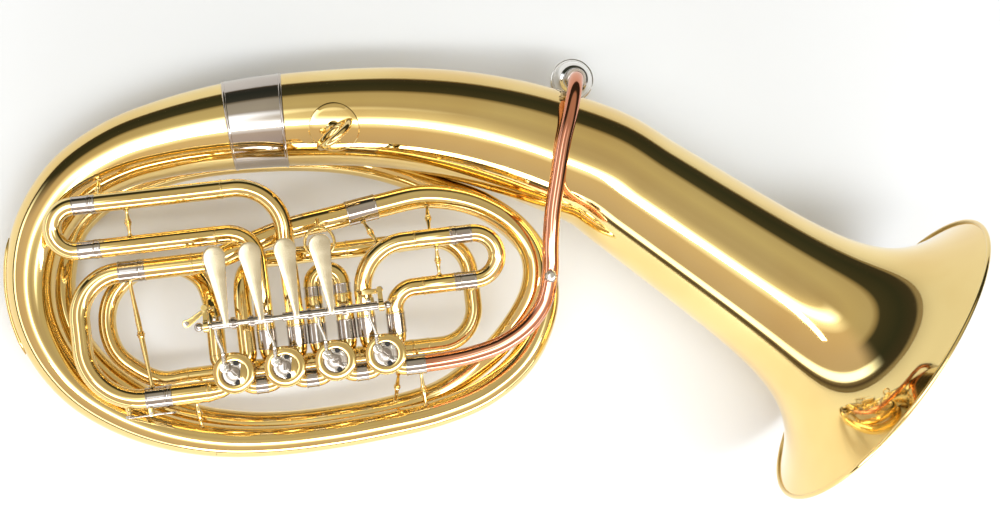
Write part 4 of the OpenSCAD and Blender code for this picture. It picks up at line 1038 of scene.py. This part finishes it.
def bracket(shell, x, post_x, post_y, foot):
    """Carrier for one end of the shaft: eye, swept arm, post and foot."""
    eye = piped(SHAFT_R + FIT, (0, 4.3), (0.3, 4.6), (3.7, 4.6), (4.0, 4.3))
    shell.lathe(V(x - 2, SHAFT_Y, SHAFT_Z), ALONG, eye, 56)
    reach = post_y - SHAFT_Y
    out = [(2.5, -3.6), (6, -3.9), (reach + 1.8, -3.6), (reach + 2.4, -1.8), (reach + 1.6, -0.2), (6, -0.1),
           (3.2, 1.4)]
    shell.slab(out, lambda y, z, w: V(x - 1.9 + w, SHAFT_Y + y, SHAFT_Z + z), 0.0, 3.8, 0.5)
    h = SHAFT_Z - foot
    mid = h * 0.5
    shell.lathe(V(x, post_y, foot), UP, filled(
        (0, 2.5), (0.4, 2.6), (3.4, 2.6), (4.4, 2.2), (mid - 1.5, 1.9), (mid - 1.2, 2.5), (mid + 1.2, 2.5),
        (mid + 1.5, 1.9), (h - 5, 2.2), (h - 4, 2.6), (h - 0.4, 2.6), (h, 2.2)), 40)
    if abs(x - post_x) > 0.5:
        low, high = min(x, post_x) - 1.5, max(x, post_x) + 1.5
        shell.block((low, post_y - 2, foot), (high, post_y + 2, foot + 3), 0.4)


s = Shell()
bracket(s, -132.5, X4 - PORT_X, 52, 29.5)
bracket(s, 0, -PORT_X, 50, 41.5)
LUG = V(-147.2, 41.8, SHAFT_Z - 4.0)
arm = [(-131, 53.0), (-137.5, 49.6), (-143.5, 46.2), (-146.6, 44.9)]
arm += arc(LUG.x, LUG.y, 3.2, 95, 195, 13)
arm += [(-143.6, 40.4), (-138, 44.4), (-131, 49.4)]
s.slab(arm, V, SHAFT_Z - 7.5, LUG.z, 0.5)
s.make("shaft_bracket_pair", BRASS, "body", "shaft_brackets")
screw(Shell(), LUG, UP, 1.95, 1.9, 0.7).make("shaft_bracket_screw", NICKEL, "body")

s = Shell()
s.torus(V(-41, 93, 52), UP, 11.4, 1.2, 96, 24)
a, b = V(-41, 104.6, 52), V(-41, 111.5, 36.5)
L = (b - a).length
s.lathe(a, b - a, filled((0, 1.5), (2, 1.3), (L - 2, 1.3), (L, 1.6)), 32)
s.make("finger_ring_wire", BRASS, "body", "finger_ring")


# ---- leadpipe and mouthpiece
us, _ = stations(LEAD, 1, len(LEAD) - 2, 3)
radii = [radius_at(LEAD, u) for u in us]
s = Shell().tube([at(LEAD, u) for u in us], radii, [r - 0.8 for r in radii], 64)
s.make("leadpipe_tube", COPPER, "body", "leadpipe")


def shank_r(d):
    return 6 + (MOUTH_LEN - d) * 0.025


rec_start = MOUTH_RIM - MOUTH_DIR * (MOUTH_LEN - SHANK_IN)
s = Shell()
s.lathe(rec_start, -MOUTH_DIR, [
    (0, shank_r(60) + 0.05), (0, 8.4), (0.4, 9.0), (1.3, 9.2), (2.4, 9.0), (3.0, 8.4), (3.3, 8.0), (9, 7.9),
    (22, 7.9), (23.4, 8.0), (24.0, 8.5), (25.0, 8.6), (26.0, 8.5), (26.6, 8.0), (33.0, 7.9), (33.9, 7.4),
    (33.9, 5.15), (22.6, 5.15), (22.6, shank_r(82.6) + 0.05)], 72)
s.make("receiver_barrel", NICKEL, "body", "receiver")

RIM_R, CUP_R, THROAT_R = 19.2, 12.8, 3.3
out = [(0.15, CUP_R + 0.5), (0.0, CUP_R + 1.4)]
out += [(x, y) for y, x in arc(RIM_R - 2.6, 2.6, 2.6, -85, 170, 17)]
out += [(5.6, 17.9), (6.4, 17.2), (7.4, 16.9), (8.4, 16.7)]
for k in range(0, 30, 2):
    a = radians(3 * k)
    out.append((10 + 30 * sin(a), 9 + 7.4 * cos(a) ** 0.7))
out += [(41.0, 9.0), (42.2, 8.9), (43.0, 8.3), (44.0, 8.15), (50, 7.6), (57, 7.15), (60, shank_r(60)),
        (MOUTH_LEN - 0.4, shank_r(MOUTH_LEN)), (MOUTH_LEN, 5.8)]
inn = [(MOUTH_LEN, 4.9), (60, 4.2), (45, 3.5), (40, THROAT_R), (34, THROAT_R)]
for k in range(42, 0, -2):
    a = radians(2 * k)
    inn.append((32 * sin(a), THROAT_R + (CUP_R - THROAT_R) * cos(a)))
s = Shell().lathe(MOUTH_RIM, -MOUTH_DIR, out + inn, 128)
s.make("mouthpiece_cup_and_shank", SILVER, "mouthpiece", "mouthpiece", angle=40)

DRAIN_U = 9.1
dc = at(LEAD, DRAIN_U)
da = V(-sin(radians(4)), 0, cos(radians(4)))
s = Shell().lathe(dc, da, [(5.0, 4.55), (5.6, 4.8), (7.0, 4.5), (7.4, 4.8), (11.6, 4.8), (12.0, 4.5),
                           (12.0, 3.76), (8.6, 3.76), (8.6, 2.5), (5.0, 2.5)], 56)
s.make("drain_barrel_ring", NICKEL, "body", "drain_barrel")
s = Shell().lathe(dc, da, [(11.7, 0.0), (11.7, 3.68), (14.6, 3.68), (15.1, 3.4), (15.4, 2.9), (15.6, 2.0),
                           (15.7, 0.0)], 56)
s.make("drain_button_cap", SILVER, "drain_button", "drain_button")

# ---- stays
loop_1, loop_3 = plane(1), plane(3)
s = Shell()
for p, rp, q, rq in (
    (loop_3(-185, NEAR3[2]), SLEEVE, loop_3(-185, FAR3[2]), SLEEVE),
    (loop_1(50, NEAR1[2]), SLEEVE, loop_1(50, FAR1[2]), SLEEVE),
    (loop_1(46, FAR1[2]), SLEEVE, at(CONE, 6), 9.8),
    (loop_1(7, 83), SLEEVE, at(CONE, 4.5), 10.7),
    (V(-152, TUN_LOW, PORT_Z), TUN_R, at(CONE, 43.25), 13.95),
    (V(9.5, -PORT_X - 1, PORT_Z), PORT_R, at(CONE, 13.9), 10.2),
    (V(26, -PORT_X, PORT_Z), 7.9, at(CONE, 39.2), 11.3),
    (loop_3(-206, FAR3[2]), SLEEVE, at(CONE, 51.6), 27.8),
):
    stay(s, *between(p, rp, q, rq))
s.make("body_stays", BRASS, "body", "body_braces")

# CAD nodes that stay as they are get the same finishes
finishes = {sp["node"]: sp["material_slot"] for sp in frame["record"]["subparts"]}
for name, ob in frame["nodes"].items():
    ob.data.materials.clear()
    ob.data.materials.append(SLOTS[finishes.get(name, "lacquered_brass")])

# ---- camera, floor, light
scene = bpy.context.scene
cam_data = bpy.data.cameras.new("photo_camera")
cam = bpy.data.objects.new("photo_camera", cam_data)
scene.collection.objects.link(cam)
cam_data.sensor_width = 36.0
cam_data.lens = 52.2
cam_data.clip_start, cam_data.clip_end = 0.05, 50.0
CAM_PLACE = V(-33.79, 19.19, 1189.0) * MM
CAM_TURN = Euler((radians(2.803), radians(-6.289), radians(-7.100)), "XYZ")
ROW_TURN = TO_ROW.to_3x3().to_4x4()
cam.matrix_world = Matrix.Translation(TO_ROW @ CAM_PLACE) @ ROW_TURN @ CAM_TURN.to_matrix().to_4x4()
scene.camera = cam

material, tree, shader = nodes_of("pale_floor")
place = add(tree, "ShaderNodeTexCoord").outputs["Object"]
cloud = add(tree, "ShaderNodeTexNoise", place, Scale=3.0, Detail=4.0).outputs["Fac"]
plug(tree, mixed(tree, cloud, (0.92, 0.95, 0.99), (0.90, 0.93, 0.97)), shader, "Base Color")
shader.inputs["Roughness"].default_value = 0.6
mesh = bpy.data.meshes.new("floor")
mesh.from_pydata([(-4, -4, 0), (4, -4, 0), (4, 4, 0), (-4, 4, 0)], [], [(0, 1, 2, 3)])
mesh.materials.append(material)
ground = bpy.data.objects.new("floor", mesh)
ground.location.z = min(0.0, cad_box[0][2]) - 0.0002
scene.collection.objects.link(ground)


def area(name, where, target, size, power, colour):
    d = bpy.data.lights.new(name, "AREA")
    d.shape = "RECTANGLE"
    d.size, d.size_y = size
    d.energy = power
    d.color = colour
    d.spread = pi
    o = bpy.data.objects.new(name, d)
    o.location = where
    o.rotation_euler = (Vector(target) - Vector(where)).to_track_quat("-Z", "Y").to_euler()
    scene.collection.objects.link(o)


area("window", (0.10, -2.10, 0.62), (0.05, 0, 0.05), (2.6, 0.40), 26, (0.96, 0.98, 1.0))
area("lamp_tube", (-0.05, -0.62, 2.10), (0.0, 0, 0), (3.2, 0.22), 20, (1.0, 0.99, 0.95))

# Surroundings: a dark drape behind the instrument, a bright window strip and a wall in front
# of it, and a warm ceiling over both.
world = bpy.data.worlds.new("studio")
scene.world = world
world.use_nodes = True
sky = world.node_tree
background = sky.nodes["Background"]
direction = add(sky, "ShaderNodeTexCoord").outputs["Generated"]
height = add(sky, "ShaderNodeSeparateXYZ", direction).outputs["Z"]


def heights(rows):
    """Colours by height: 0 at the horizon, 1 straight above."""
    ramp = add(sky, "ShaderNodeValToRGB", height)
    stops = ramp.color_ramp.elements
    for stop, (place, colour) in ((stops[0], rows[0]), (stops[1], rows[-1])):
        stop.position, stop.color = place, (*colour, 1)
    for place, colour in rows[1:-1]:
        stops.new(place).color = (*colour, 1)
    return ramp.outputs["Color"]


WALL, CEILING, PANE = (0.62, 0.53, 0.46), (0.50, 0.45, 0.38), (2.6, 2.8, 3.0)
drape = heights([
    (0.0, (0.30, 0.26, 0.20)), (0.04, (0.05, 0.045, 0.035)), (0.26, (0.035, 0.04, 0.03)),
    (0.55, (0.055, 0.055, 0.04)), (0.60, (0.30, 0.26, 0.18)), (0.66, (0.52, 0.48, 0.38)),
    (0.86, (0.58, 0.54, 0.42)), (1.0, CEILING)])
front = heights([
    (0.0, (0.22, 0.19, 0.14)), (0.04, (0.08, 0.06, 0.045)), (0.10, (0.25, 0.21, 0.16)), (0.14, PANE),
    (0.24, PANE), (0.29, WALL), (0.52, (0.66, 0.56, 0.50)), (0.80, (0.74, 0.62, 0.50)),
    (0.88, (1.5, 1.5, 1.45)), (0.915, (4.2, 4.6, 5.0)), (0.94, (3.6, 3.9, 4.2)),
    (0.965, (0.95, 0.90, 0.76)), (1.0, CEILING)])
toward = add(sky, "ShaderNodeVectorMath", direction, operation="DOT_PRODUCT")
toward.inputs[1].default_value = (0.42, 0.90, 0.0)
part = add(sky, "ShaderNodeMapRange", toward.outputs["Value"], interpolation_type="SMOOTHSTEP",
           **{"From Min": -0.12, "From Max": 0.22})
mix = add(sky, "ShaderNodeMixRGB", part.outputs["Result"])
plug(sky, front, mix, 1)
plug(sky, drape, mix, 2)
plug(sky, mix.outputs[0], background, "Color")
background.inputs["Strength"].default_value = 1.0
scene.view_settings.view_transform = "Standard"
